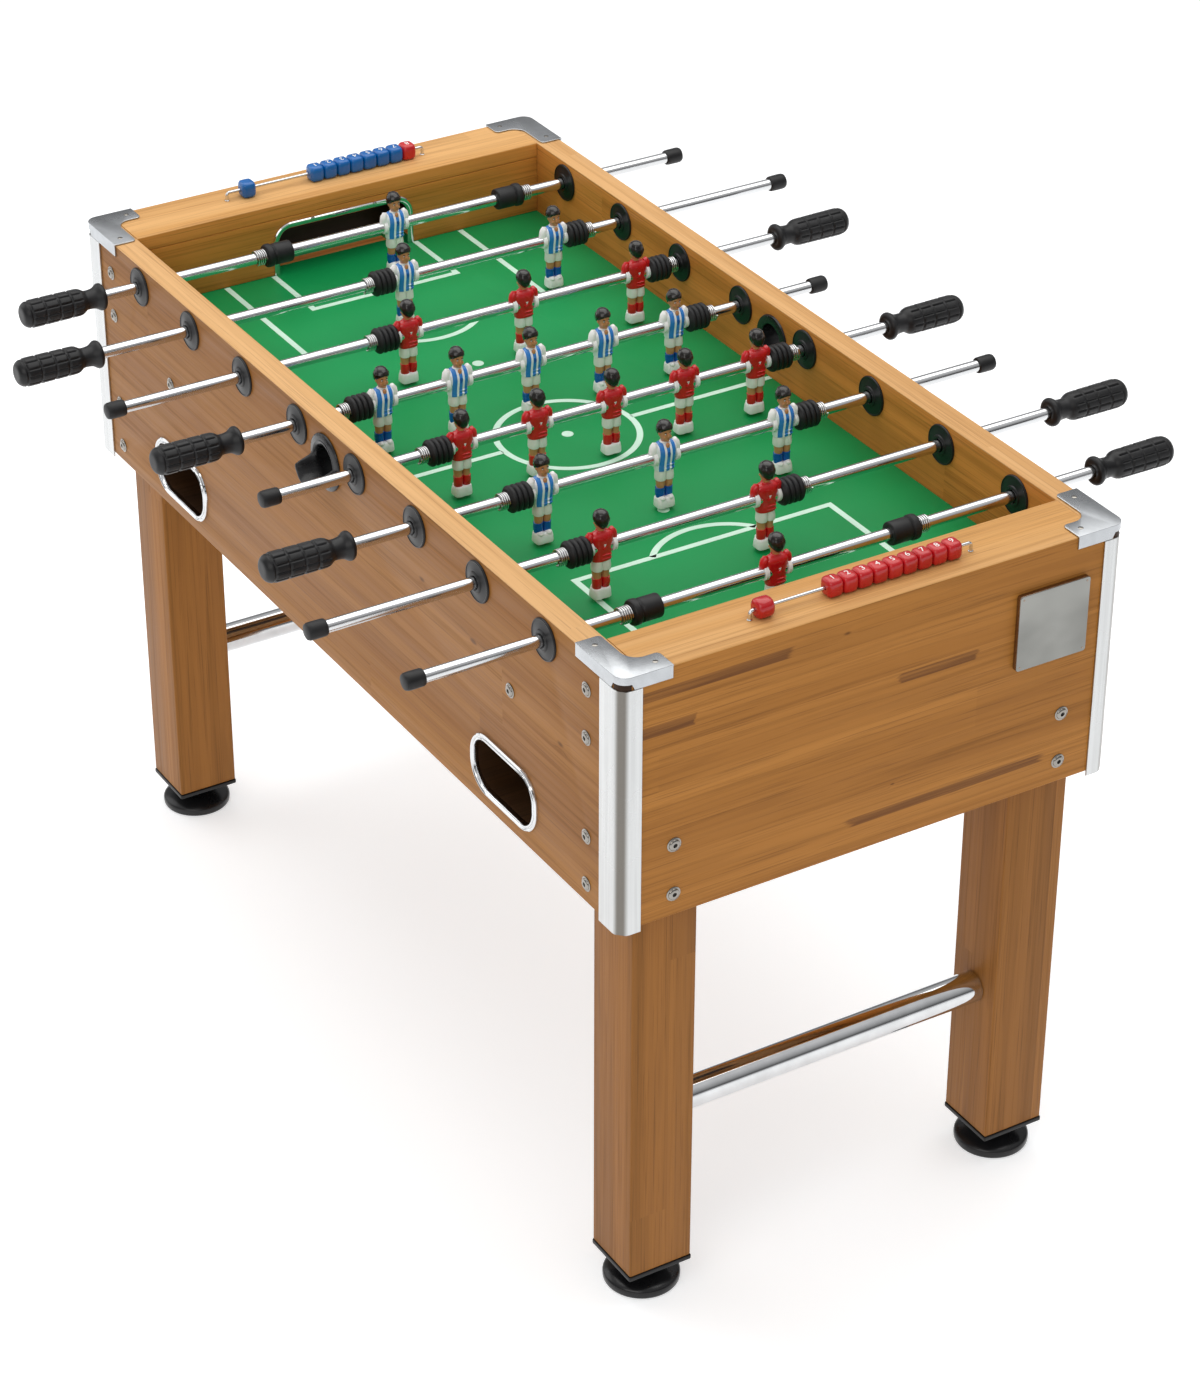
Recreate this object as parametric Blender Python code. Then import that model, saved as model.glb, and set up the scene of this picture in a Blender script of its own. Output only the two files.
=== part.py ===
"""Free-standing eight-rod table football (foosball) table.

X runs along the table, Y along the player rods, Z is up, and the floor is z = 0.
The red goalkeeper's end is +X; the side with the two ball returns is -Y.
"""

import math

import bmesh
import bpy
from mathutils import Matrix, Vector

# ---------------------------------------------------------------- dimensions, metres
GAP = 0.0004  # clearance between pieces that touch in the real table

# cabinet
HALF_L = 0.7200  # outer face of the end panels
HALF_W = 0.3576  # outer face of the side panels
RAIL_TOP = 0.9580
PANEL_BOTTOM = 0.6090
SIDE_T = 0.0350
END_T = 0.0260
END_SHELF = 0.0900  # width of the end rail seen from above
SHELF_T = 0.0220
CORNER_R = 0.0140

# playing field and goals
FIELD_TOP = 0.8500
FIELD_T = 0.0080
GOAL_WALL_T = 0.0120
GOAL_HALF = 0.1070
GOAL_TOP = 0.9220
GOAL_CORNER = 0.0220
CHEEK_T = 0.0100
DROP_NEAR, DROP_FAR, DROP_HALF = 0.6560, 0.6860, 0.0900  # ball drop slot behind the goal line

# legs
LEG = 0.0907
LEG_TOP = 0.8350
LEG_FOOT = 0.0400
LEG_CAP_T = 0.0060
LEG_CAP_OVER = 0.0012
STUD_R = 0.0060
STUD_HOLE_R = 0.0066
STUD_HOLE_TOP = 0.0860
FOOT_R = 0.0500
CROSSBAR_Z = 0.2680
CROSSBAR_R = 0.0212
CROSSBAR_WALL = 0.0015

# corner trim
TRIM_OUT = 0.0024
CAP_SIDE, CAP_END = 0.1000, 0.0720
CAP_ARM = 0.0310
CAP_TOP = 0.9600
SKIRT_BOTTOM = 0.9420
STRIP_SIDE, STRIP_END = 0.0430, 0.0280
STRIP_BOTTOM = 0.6030

# rods
ROD_PITCH = 0.1570
ROD_Z = 0.9260
ROD_R = 0.0080
ROD_HOLE_R = 0.0088
BEARING_R = 0.0270
BEARING_OUT = 0.0060
HANDLE_LEN = 0.1220
HANDLE_BORE_R = 0.0084
HANDLE_BORE = 0.0750
STUB_CAP_LEN = 0.0250
STUB_CAP_R = 0.0112
BUMPER_IN, BUMPER_OUT, SPRING_OUT = 0.0185, 0.0505, 0.0640  # from the outermost figure
KEEPER_IN, KEEPER_OUT, KEEPER_SPRING = 0.1660, 0.2060, 0.2230  # from the goalkeeper
BUMPER_R, KEEPER_R, SPRING_R = 0.0180, 0.0154, 0.0114

# name, figures, centre of the figures at rest, handle side, grip end, free end
FIGURES = {1: 0.0, 2: 0.2400, 3: 0.1800, 5: 0.1120}
RODS = (
    ("blue_goalkeeper", 1, 0.040, -1, 0.535, 0.520, 1),
    ("blue_defence", 2, 0.090, -1, 0.612, 0.600, 1),
    ("red_attack", 3, 0.070, 1, 0.600, 0.555, -1),
    ("blue_midfield", 5, -0.010, -1, 0.563, 0.460, 1),
    ("red_midfield", 5, 0.020, 1, 0.575, 0.491, -1),
    ("blue_attack", 3, 0.003, -1, 0.568, 0.517, 1),
    ("red_defence", 2, -0.066, 1, 0.612, 0.590, -1),
    ("red_goalkeeper", 1, -0.035, 1, 0.564, 0.546, -1),
)

# side wall fittings
ENTRY_Z = 0.9070
ENTRY_HOLE_R, ENTRY_BORE_R = 0.0250, 0.0222
ENTRY_FLANGE_R, ENTRY_INNER_R, ENTRY_LIP = 0.0390, 0.0355, 0.0260
RETURN_X, RETURN_Z = 0.4500, 0.6720
RETURN_W, RETURN_H, RETURN_R = 0.1620, 0.0880, 0.0400
BOLT_R, BOLT_H = 0.0080, 0.0040
SIDE_BOLTS = ((0.645, 0.908), (0.645, 0.842), (0.467, 0.812), (0.645, 0.704), (0.645, 0.636))
END_BOLTS = ((0.283, 0.710), (0.283, 0.640))

# score counters
SCORE_X = 0.6800
SCORE_Z = 0.9698
SCORE_HALF = 0.1580
SCORE_R = 0.0024
BEAD = 0.0214
BEAD_R = 0.0108
BEAD_HOLE_R = 0.0030
BIG_BEAD, BIG_BEAD_R = 0.0250, 0.0115
LEAD_FRONT, ROW_FRONT, ROW_FRONT_N = -0.1400, -0.0430, 9
LEAD_REAR, ROW_REAR, ROW_REAR_N = -0.1260, -0.0170, 8

# badge plate
BADGE_Y, BADGE_Z, BADGE = 0.2540, 0.8510, 0.1050


# ---------------------------------------------------------------- helpers
def clear_scene():
    for ob in list(bpy.data.objects):
        bpy.data.objects.remove(ob, do_unlink=True)


def finish(name, bm):
    """Turn a bmesh into a named object with outward faces."""
    bmesh.ops.remove_doubles(bm, verts=bm.verts, dist=1e-6)
    bmesh.ops.recalc_face_normals(bm, faces=bm.faces)
    me = bpy.data.meshes.new(name)
    bm.to_mesh(me)
    bm.free()
    ob = bpy.data.objects.new(name, me)
    bpy.context.scene.collection.objects.link(ob)
    return ob


def skin(bm, rings, closed):
    """Join rings of points; a closed set of rings makes a tube, otherwise the ends are capped."""
    loops = [[bm.verts.new(p) for p in ring] for ring in rings]
    n = len(loops[0])
    pairs = list(zip(loops, loops[1:]))
    if closed:
        pairs.append((loops[-1], loops[0]))
    for a, b in pairs:
        for i in range(n):
            j = (i + 1) % n
            bm.faces.new((a[i], a[j], b[j], b[i]))
    if not closed:
        bm.faces.new(list(reversed(loops[0])))
        bm.faces.new(loops[-1])


def prism(bm, outline, lo, hi, axis="Z"):
    """Extrude a flat outline; axis Z takes (x, y), X takes (y, z) and Y takes (x, z)."""
    def place(p, h):
        return {"Z": (p[0], p[1], h), "X": (h, p[0], p[1]), "Y": (p[0], h, p[1])}[axis]
    skin(bm, [[place(p, lo) for p in outline], [place(p, hi) for p in outline]], False)


def box_points(x0, x1, y0, y1):
    return [(x0, y0), (x1, y0), (x1, y1), (x0, y1)]


def box(bm, x, y, z, bevel=0.0):
    """Add a box from three (low, high) pairs, with small bevels if asked for."""
    piece = bmesh.new()
    prism(piece, box_points(*x, *y), z[0], z[1])
    if bevel:
        bmesh.ops.bevel(piece, geom=list(piece.edges), offset=bevel, segments=1, affect="EDGES", profile=0.5)
    me = bpy.data.meshes.new("box")
    piece.to_mesh(me)
    piece.free()
    bm.from_mesh(me)
    bpy.data.meshes.remove(me)


def arc(cx, cy, r, a0, a1, steps):
    return [(cx + r * math.cos(a0 + (a1 - a0) * i / steps), cy + r * math.sin(a0 + (a1 - a0) * i / steps))
            for i in range(steps + 1)]


def rounded(w, h, r, steps):
    """Outline of a rounded rectangle about the origin."""
    pts = []
    for k, (sx, sy) in enumerate(((1, 1), (-1, 1), (-1, -1), (1, -1))):
        pts += arc(sx * (w / 2 - r), sy * (h / 2 - r), r, k * math.pi / 2, (k + 1) * math.pi / 2, steps)
    return pts


def turned(bm, profile, segs, axis, at):
    """Revolve (position, radius) pairs about an axis through a point; radius 0 makes a pole."""
    def place(s, r, t):
        c, d = r * math.cos(t), r * math.sin(t)
        v = {"Y": (c, s, d), "Z": (c, d, s), "X": (s, c, d)}[axis]
        return Vector(v) + Vector(at)
    rows = []
    for s, r in profile:
        if r == 0:
            rows.append([bm.verts.new(place(s, 0, 0))])
        else:
            rows.append([bm.verts.new(place(s, r, 2 * math.pi * (i + 0.5) / segs)) for i in range(segs)])
    for a, b in zip(rows, rows[1:]):
        for i in range(segs):
            j = (i + 1) % segs
            if len(a) == 1:
                bm.faces.new((a[0], b[j], b[i]))
            elif len(b) == 1:
                bm.faces.new((a[i], a[j], b[0]))
            else:
                bm.faces.new((a[i], a[j], b[j], b[i]))


def sweep(bm, path, r, segs):
    """Round bar along a path lying in a plane of constant x."""
    rings = []
    for i, p in enumerate(path):
        p = Vector(p)
        before = (p - Vector(path[i - 1])).normalized() if i else None
        after = (Vector(path[i + 1]) - p).normalized() if i + 1 < len(path) else None
        along = ((before or after) + (after or before)).normalized()
        across = along.cross(Vector((1, 0, 0))).normalized()
        stretch = 1.0 if before is None or after is None else 1.0 / max(0.5, along.dot(after))
        rings.append([p + Vector((1, 0, 0)) * (r * math.cos(2 * math.pi * k / segs))
                      + across * (r * stretch * math.sin(2 * math.pi * k / segs)) for k in range(segs)])
    skin(bm, rings, False)


def combine(ob, other, operation):
    """Boolean with a helper object, which is then removed."""
    mod = ob.modifiers.new("combine", "BOOLEAN")
    mod.operation = operation
    mod.solver = "EXACT"
    mod.object = other
    graph = bpy.context.evaluated_depsgraph_get()
    me = bpy.data.meshes.new_from_object(ob.evaluated_get(graph))
    ob.modifiers.clear()
    ob.data = me
    bpy.data.objects.remove(other, do_unlink=True)
    bm = bmesh.new()
    bm.from_mesh(me)
    bmesh.ops.remove_doubles(bm, verts=bm.verts, dist=1e-6)
    bmesh.ops.dissolve_degenerate(bm, dist=1e-7, edges=bm.edges)
    bm.to_mesh(me)
    bm.free()
    me.name = ob.name
    return ob


def mirrored(name, source, sx, sy):
    """Copy of an object reflected in x and/or y about the table's centre."""
    bm = bmesh.new()
    bm.from_mesh(source.data)
    bmesh.ops.transform(bm, matrix=Matrix.Diagonal((sx, sy, 1, 1)), verts=bm.verts)
    if sx * sy < 0:
        bmesh.ops.reverse_faces(bm, faces=bm.faces)
    me = bpy.data.meshes.new(name)
    bm.to_mesh(me)
    bm.free()
    ob = bpy.data.objects.new(name, me)
    bpy.context.scene.collection.objects.link(ob)
    return ob


def rod_x(index):
    return (index - 3.5) * ROD_PITCH


# ---------------------------------------------------------------- cabinet
def side_panel(name, side, with_returns):
    """Long wall with a bearing for each rod, the ball entry hole and, on one side, two ball returns."""
    inner, outer = HALF_W - SIDE_T, HALF_W
    bm = bmesh.new()
    lo, hi = sorted((side * inner, side * outer))
    box(bm, (-HALF_L + END_T + GAP, HALF_L - END_T - GAP), (lo, hi), (PANEL_BOTTOM, RAIL_TOP), 0.0012)
    panel = finish(name, bm)

    bm = bmesh.new()
    mid = side * (inner + outer) / 2
    half = SIDE_T / 2
    for k in range(len(RODS)):
        turned(bm, [(-half - BEARING_OUT, 0), (-half - BEARING_OUT, 0.012), (-half - 0.0015, BEARING_R),
                    (half + 0.0015, BEARING_R), (half + BEARING_OUT, 0.012), (half + BEARING_OUT, 0)],
               12, "Y", (rod_x(k), mid, ROD_Z))
    for x, z in SIDE_BOLTS:
        for s in (-1, 1):
            y0, y1 = side * (outer - 0.003), side * (outer + BOLT_H)
            turned(bm, [(y0, 0), (y0, BOLT_R), (y1, BOLT_R - 0.002), (y1, 0)], 8, "Y", (s * x, 0, z))
    combine(panel, finish("fittings", bm), "UNION")

    bm = bmesh.new()
    reach = half + 0.02
    for k in range(len(RODS)):
        turned(bm, [(-reach, 0), (-reach, ROD_HOLE_R), (reach, ROD_HOLE_R), (reach, 0)], 12, "Y",
               (rod_x(k), mid, ROD_Z))
    prism(bm, [(ENTRY_HOLE_R * math.cos(t * math.pi / 12), ENTRY_Z + ENTRY_HOLE_R * math.sin(t * math.pi / 12))
               for t in range(24)], mid - reach, mid + reach, "Y")
    if with_returns:
        for s in (-1, 1):
            prism(bm, [(s * RETURN_X + x, RETURN_Z + z) for x, z in rounded(RETURN_W - 0.015, RETURN_H - 0.015,
                                                                            RETURN_R - 0.0075, 3)],
                  mid - reach, mid + reach, "Y")
    return combine(panel, finish("holes", bm), "DIFFERENCE")


def end_panel(name, end):
    """End wall: a full-width board with rounded corners, and the wide rail on top of it."""
    r = CORNER_R
    x0, x1 = HALF_L - END_T, HALF_L
    outline = [(x0, -HALF_W), (x1 - r, -HALF_W)]
    outline += arc(x1 - r, -HALF_W + r, r, -math.pi / 2, 0, 5)[1:]
    outline += arc(x1 - r, HALF_W - r, r, 0, math.pi / 2, 5)
    outline += [(x0, HALF_W)]
    bm = bmesh.new()
    prism(bm, outline, PANEL_BOTTOM, RAIL_TOP)
    panel = finish(name, bm)
    bm = bmesh.new()
    reach = HALF_W - SIDE_T - GAP
    box(bm, (HALF_L - END_SHELF, x0 + 0.004), (-reach, reach), (RAIL_TOP - SHELF_T, RAIL_TOP))
    for y, z in END_BOLTS:
        for s in (-1, 1):
            turned(bm, [(x1 - 0.003, 0), (x1 - 0.003, BOLT_R), (x1 + BOLT_H, BOLT_R - 0.002), (x1 + BOLT_H, 0)],
                   8, "X", (0, s * y, z))
    combine(panel, finish("rail", bm), "UNION")
    if end < 0:
        rear = mirrored("rear", panel, -1, 1)
        bpy.data.objects.remove(panel, do_unlink=True)
        rear.name = name
        return rear
    return panel


def playfield():
    """Flat field with a ball drop slot behind each goal mouth."""
    bm = bmesh.new()
    box(bm, (-HALF_L + END_T + GAP, HALF_L - END_T - GAP), (-HALF_W + SIDE_T + GAP, HALF_W - SIDE_T - GAP),
        (FIELD_TOP - FIELD_T, FIELD_TOP))
    field = finish("playfield", bm)
    bm = bmesh.new()
    for s in (-1, 1):
        a, b = sorted((s * DROP_NEAR, s * DROP_FAR))
        box(bm, (a, b), (-DROP_HALF, DROP_HALF), (FIELD_TOP - 0.02, FIELD_TOP + 0.02))
    return combine(field, finish("slots", bm), "DIFFERENCE")


def goal_box(name, end):
    """Inner end wall with the goal mouth cut in it, and the two cheeks of the goal behind it."""
    a = HALF_L - END_SHELF
    b = a + GOAL_WALL_T
    c = HALF_L - END_T - GAP
    w = HALF_W - SIDE_T - GAP
    y0, y1 = GOAL_HALF + 0.002, GOAL_HALF + 0.002 + CHEEK_T
    outline = [(a, -w), (b, -w), (b, -y1), (c, -y1), (c, -y0), (b, -y0), (b, y0), (c, y0), (c, y1), (b, y1),
               (b, w), (a, w)]
    bm = bmesh.new()
    prism(bm, outline, FIELD_TOP + GAP, RAIL_TOP - SHELF_T - GAP)
    wall = finish(name, bm)
    r = GOAL_CORNER
    mouth = [(-GOAL_HALF, FIELD_TOP - 0.01), (GOAL_HALF, FIELD_TOP - 0.01)]
    mouth += arc(GOAL_HALF - r, GOAL_TOP - r, r, 0, math.pi / 2, 5)
    mouth += arc(-GOAL_HALF + r, GOAL_TOP - r, r, math.pi / 2, math.pi, 5)
    bm = bmesh.new()
    prism(bm, mouth, a - 0.01, b + 0.0015, "X")
    combine(wall, finish("mouth", bm), "DIFFERENCE")
    if end < 0:
        rear = mirrored("rear", wall, -1, 1)
        bpy.data.objects.remove(wall, do_unlink=True)
        rear.name = name
        return rear
    return wall


# ---------------------------------------------------------------- legs and feet
def leg_centre(sx, sy):
    return (sx * (HALF_L - END_T - GAP - LEG / 2), sy * (HALF_W - SIDE_T - GAP - LEG / 2))


def leg(name, sx, sy):
    """Square post with a slightly larger plate under it and a blind hole for the foot's stud."""
    cx, cy = leg_centre(sx, sy)
    h = LEG / 2
    bm = bmesh.new()
    prism(bm, [(cx + x, cy + y) for x, y in rounded(LEG, LEG, 0.002, 1)], LEG_FOOT + LEG_CAP_T - 0.001, LEG_TOP)
    post = finish(name, bm)
    bm = bmesh.new()
    o = h + LEG_CAP_OVER
    box(bm, (cx - o, cx + o), (cy - o, cy + o), (LEG_FOOT, LEG_FOOT + LEG_CAP_T))
    combine(post, finish("plate", bm), "UNION")
    bm = bmesh.new()
    turned(bm, [(LEG_FOOT - 0.01, 0), (LEG_FOOT - 0.01, STUD_HOLE_R), (STUD_HOLE_TOP, STUD_HOLE_R),
                (STUD_HOLE_TOP, 0)], 16, "Z", (cx, cy, 0))
    return combine(post, finish("stud_hole", bm), "DIFFERENCE")


def leveler(name, sx, sy):
    """Round adjustable foot with a domed top and a stud going up into the leg."""
    cx, cy = leg_centre(sx, sy)
    bm = bmesh.new()
    turned(bm, [(0, 0), (0, 0.0470), (0.0030, FOOT_R), (0.0090, FOOT_R), (0.0130, 0.0450), (0.0220, 0.0240),
                (0.0290, 0.0140), (0.0345, 0.0135), (0.0345, STUD_R), (0.0780, STUD_R), (0.0780, 0)],
           16, "Z", (cx, cy, 0))
    return finish(name, bm)


def crossbar(name, end):
    """Round tube between the two legs of one end."""
    cx = leg_centre(end, 1)[0]
    y = HALF_W - SIDE_T - LEG - 2 * GAP
    inner = CROSSBAR_R - CROSSBAR_WALL
    rings = [[(cx + r * math.cos(math.pi * (k + 0.5) / 12), v, CROSSBAR_Z + r * math.sin(math.pi * (k + 0.5) / 12))
              for k in range(24)] for v, r in ((-y, CROSSBAR_R), (y, CROSSBAR_R), (y, inner), (-y, inner))]
    bm = bmesh.new()
    skin(bm, rings, True)
    return finish(name, bm)


# ---------------------------------------------------------------- corner trim
def corner_cap(name):
    """Top corner plate with a scooped inner edge and a short skirt down each outer face."""
    ox, oy = HALF_L + TRIM_OUT, HALF_W + TRIM_OUT
    r, w, e = 0.0160, CAP_ARM + TRIM_OUT, 0.004
    ix, iy = ox - w, oy - w
    s = 0.018
    outline = arc(ox - r, oy - r, r, 0, math.pi / 2, 6)
    outline += [(ox - CAP_SIDE, oy)] + arc(ox - CAP_SIDE + e, iy + e, e, math.pi, 1.5 * math.pi, 2)
    outline += list(reversed(arc(ix - s, iy - s, s, 0, math.pi / 2, 5)))
    outline += arc(ix + e, oy - CAP_END + e, e, math.pi, 1.5 * math.pi, 2) + [(ox, oy - CAP_END)]
    bm = bmesh.new()
    prism(bm, outline, RAIL_TOP + GAP, CAP_TOP)
    cap = finish(name, bm)
    bm = bmesh.new()
    t = TRIM_OUT - GAP
    box(bm, (ox - t, ox - 0.00005), (oy - CAP_END + 0.0005, oy - 0.0185), (SKIRT_BOTTOM, CAP_TOP - 0.0004))
    box(bm, (ox - CAP_SIDE + 0.0005, ox - 0.0185), (oy - t, oy - 0.00005), (SKIRT_BOTTOM, CAP_TOP - 0.0004))
    return combine(cap, finish("skirts", bm), "UNION")


def corner_strip(name):
    """Rounded edge strip down one vertical corner of the cabinet."""
    ox, oy = HALF_L + TRIM_OUT, HALF_W + TRIM_OUT
    r = CORNER_R + TRIM_OUT
    t = TRIM_OUT - GAP

    def profile(side, end):
        pts = [(ox, HALF_W - end)] + arc(ox - r, oy - r, r, 0, math.pi / 2, 6) + [(HALF_L - side, oy)]
        pts += [(HALF_L - side, oy - t)] + arc(ox - r, oy - r, r - t, math.pi / 2, 0, 6) + [(ox - t, HALF_W - end)]
        return pts

    bm = bmesh.new()
    prism(bm, profile(STRIP_SIDE, STRIP_END), STRIP_BOTTOM, SKIRT_BOTTOM - GAP)
    strip = finish(name, bm)
    bm = bmesh.new()
    prism(bm, profile(0.0150, 0.0150), SKIRT_BOTTOM - 0.004, RAIL_TOP)
    return combine(strip, finish("top", bm), "UNION")


# ---------------------------------------------------------------- wall fittings
def ball_entry(name, side):
    """Round chute through the side wall: flange inside, flange and open-topped serving scoop outside."""
    mid, half = HALF_W - SIDE_T / 2, SIDE_T / 2
    # position along the wall's depth, radius, share of the scoop's reach
    stations = [(-half - 0.0034, ENTRY_INNER_R - 0.0010, 0), (-half - GAP, ENTRY_INNER_R, 0),
                (-half - GAP, ENTRY_HOLE_R - 0.0005, 0), (half + GAP, ENTRY_HOLE_R - 0.0005, 0),
                (half + GAP, ENTRY_FLANGE_R, 0), (half + 0.0034, ENTRY_FLANGE_R - 0.0012, 0),
                (half + 0.0048, 0.0325, 0), (half + 0.0052, 0.0295, 1), (half + 0.0050, 0.0268, 1),
                (half + 0.0020, ENTRY_BORE_R, 0), (-half - 0.0034, ENTRY_BORE_R, 0)]
    rings = []
    for s, r, share in stations:
        ring = []
        for t in range(24):
            u = min(1.0, max(0.0, (0.10 - math.sin(t * math.pi / 12)) / 0.40))
            out = s + share * ENTRY_LIP * u * u * (3 - 2 * u)
            ring.append((r * math.cos(t * math.pi / 12), side * (mid + out), ENTRY_Z + r * math.sin(t * math.pi / 12)))
        rings.append(ring)
    bm = bmesh.new()
    skin(bm, rings, True)
    return finish(name, bm)


def ball_return(name, end):
    """Rounded rim and sleeve of a ball return opening in the -Y wall."""
    mid, half = HALF_W - SIDE_T / 2, SIDE_T / 2
    stations = [(half + 0.0030, 0.0), (half + GAP, 0.0), (half + GAP, 0.0160), (-half - 0.0250, 0.0160),
                (-half - 0.0250, 0.0190), (half + 0.0040, 0.0190), (half + 0.0040, 0.0060)]
    rings = []
    for s, inset in stations:
        rings.append([(end * RETURN_X + x, -(mid + s), RETURN_Z + z)
                      for x, z in rounded(RETURN_W - inset, RETURN_H - inset, RETURN_R - inset / 2, 3)])
    bm = bmesh.new()
    skin(bm, rings, True)
    return finish(name, bm)


# ---------------------------------------------------------------- score counters and badge
def score_rail(name, end):
    """Thin bar along the end rail, bent down to the wood at both ends."""
    x, h, r = end * SCORE_X, SCORE_HALF, 0.004
    foot = RAIL_TOP + GAP
    path = [(x, -h, foot), (x, -h, SCORE_Z - r), (x, -h + r * 0.3, SCORE_Z - r * 0.3), (x, -h + r, SCORE_Z),
            (x, h - r, SCORE_Z), (x, h - r * 0.3, SCORE_Z - r * 0.3), (x, h, SCORE_Z - r), (x, h, foot)]
    bm = bmesh.new()
    sweep(bm, path, SCORE_R, 8)
    return finish(name, bm)


def beads(name, end, first, count, length=BEAD, radius=BEAD_R):
    """Row of square-shouldered counting beads threaded on the score bar."""
    def ring(y, size, hole):
        if hole:
            return [(end * SCORE_X + BEAD_HOLE_R * math.cos(math.pi * (k + 0.5) / 4), y,
                     SCORE_Z + BEAD_HOLE_R * math.sin(math.pi * (k + 0.5) / 4)) for k in range(8)]
        return [(end * SCORE_X + x, y, SCORE_Z + z) for x, z in rounded(2 * size, 2 * size, size * 0.42, 1)]
    outer = []
    h = length / 2 - 0.0001
    for k in range(count):
        y = first + k * BEAD
        for s, size in ((-h, radius - 0.0030), (-h + 0.0030, radius), (h - 0.0030, radius), (h, radius - 0.0030)):
            if k and s == -h:
                continue
            outer.append(ring(y + s, size, False))
    y0, y1 = first - h, first + (count - 1) * BEAD + h
    bm = bmesh.new()
    skin(bm, outer + [ring(y1, 0, True), ring(y0, 0, True)], True)
    return finish(name, bm)


def badge_plate():
    """Plain square plate on the end wall."""
    bm = bmesh.new()
    h = BADGE / 2
    box(bm, (HALF_L + GAP, HALF_L + 0.0040), (BADGE_Y - h, BADGE_Y + h), (BADGE_Z - h, BADGE_Z + h), 0.0010)
    return finish("badge_plate", bm)


# ---------------------------------------------------------------- player rods
# height above the rod, half depth, half width, forward shift
FIGURE = (
    (-0.0715, 0.0085, 0.0122, 0.0020), (-0.0575, 0.0072, 0.0116, 0.0010), (-0.0555, 0.0054, 0.0100, 0.0),
    (-0.0305, 0.0064, 0.0112, 0.0), (-0.0290, 0.0088, 0.0134, 0.0), (0.0000, 0.0108, 0.0148, 0.0),
    (0.0160, 0.0098, 0.0174, 0.0), (0.0222, 0.0046, 0.0060, 0.0), (0.0290, 0.0074, 0.0066, 0.0010),
    (0.0390, 0.0094, 0.0082, 0.0), (0.0500, 0.0044, 0.0040, -0.0005),
)


def figure(bm, x, y, facing):
    """One moulded player as a stack of rounded sections, upright on the rod."""
    rings = []
    for z, hx, hy, shift in FIGURE:
        ring = []
        for k in range(8):
            t = math.pi * (k + 0.5) / 4
            ring.append((x + facing * shift + 1.08 * hx * math.cos(t), y + 1.08 * hy * math.sin(t), ROD_Z + z))
        rings.append(ring)
    skin(bm, rings, False)


def ribbed(start, stop, direction):
    """Profile of a corrugated rubber sleeve between two positions along a rod."""
    pts = []
    n = 4
    step = (stop - start) / n
    for k in range(n):
        a = start + k * step
        pts += [(a, BUMPER_R - 0.0025), (a + step * 0.5, BUMPER_R)]
    pts.append((stop, BUMPER_R - 0.0025))
    return [(direction * s, r) for s, r in pts]


def fixed_bumper_profile(kind):
    """Sleeve and spring beyond the last figure, measured from the middle of the figures."""
    if kind == 1:
        return [(KEEPER_IN, KEEPER_R), (KEEPER_IN + 0.0265, KEEPER_R), (KEEPER_IN + 0.0285, KEEPER_R - 0.0016),
                (KEEPER_IN + 0.0305, KEEPER_R + 0.0012), (KEEPER_OUT, KEEPER_R - 0.0004), (KEEPER_OUT, SPRING_R),
                (KEEPER_SPRING, SPRING_R)]
    last = FIGURES[kind] * (kind - 1) / 2
    return ribbed(last + BUMPER_IN, last + BUMPER_OUT, 1) + [(last + BUMPER_OUT, SPRING_R),
                                                             (last + SPRING_OUT, SPRING_R)]


def player_rod(index):
    """Chrome rod with its figures, the +Y bumper and the rubber cap on its free end."""
    _, kind, centre, grip_side, grip, free, _ = RODS[index]
    x = rod_x(index)
    free_end = -grip_side * free
    grip_end = grip_side * (grip - HANDLE_LEN + HANDLE_BORE - 0.002)
    low, high = sorted((free_end, grip_end))
    bumper = [(centre + s, r) for s, r in fixed_bumper_profile(kind)]
    profile = [(low, 0)]
    if free_end < 0:
        profile += [(low, STUB_CAP_R - 0.002), (low + 0.003, STUB_CAP_R), (low + STUB_CAP_LEN, STUB_CAP_R)]
        profile += [(low + STUB_CAP_LEN, ROD_R)]
    else:
        profile += [(low, ROD_R)]
    profile += [(bumper[0][0], ROD_R)] + bumper + [(bumper[-1][0], ROD_R)]
    if free_end > 0:
        profile += [(high - STUB_CAP_LEN, ROD_R), (high - STUB_CAP_LEN, STUB_CAP_R), (high - 0.003, STUB_CAP_R),
                    (high, STUB_CAP_R - 0.002)]
    else:
        profile += [(high, ROD_R)]
    profile += [(high, 0)]
    bm = bmesh.new()
    turned(bm, profile, 12, "Y", (x, 0, ROD_Z))
    rod = finish(f"player_rod_{index + 1}", bm)
    bm = bmesh.new()
    facing = 1 if RODS[index][0].startswith("blue") else -1
    for k in range(kind):
        figure(bm, x, centre + (k - (kind - 1) / 2) * FIGURES[kind], facing)
    return combine(rod, finish("figures", bm), "UNION")


def loose_bumper(index):
    """Rubber sleeve and spring on the -Y side, free to stay still while the rod spins."""
    _, kind, centre, _, _, _, _ = RODS[index]
    bore = ROD_R + GAP
    outer = [(centre - s, r) for s, r in fixed_bumper_profile(kind)]
    profile = outer + [(outer[-1][0], bore), (outer[0][0], bore)]
    rings = [[(rod_x(index) + r * math.cos(math.pi * (k + 0.5) / 6), y, ROD_Z + r * math.sin(math.pi * (k + 0.5) / 6))
              for k in range(12)] for y, r in profile]
    bm = bmesh.new()
    skin(bm, rings, True)
    return finish(f"bumper_{index + 1}", bm)


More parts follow.
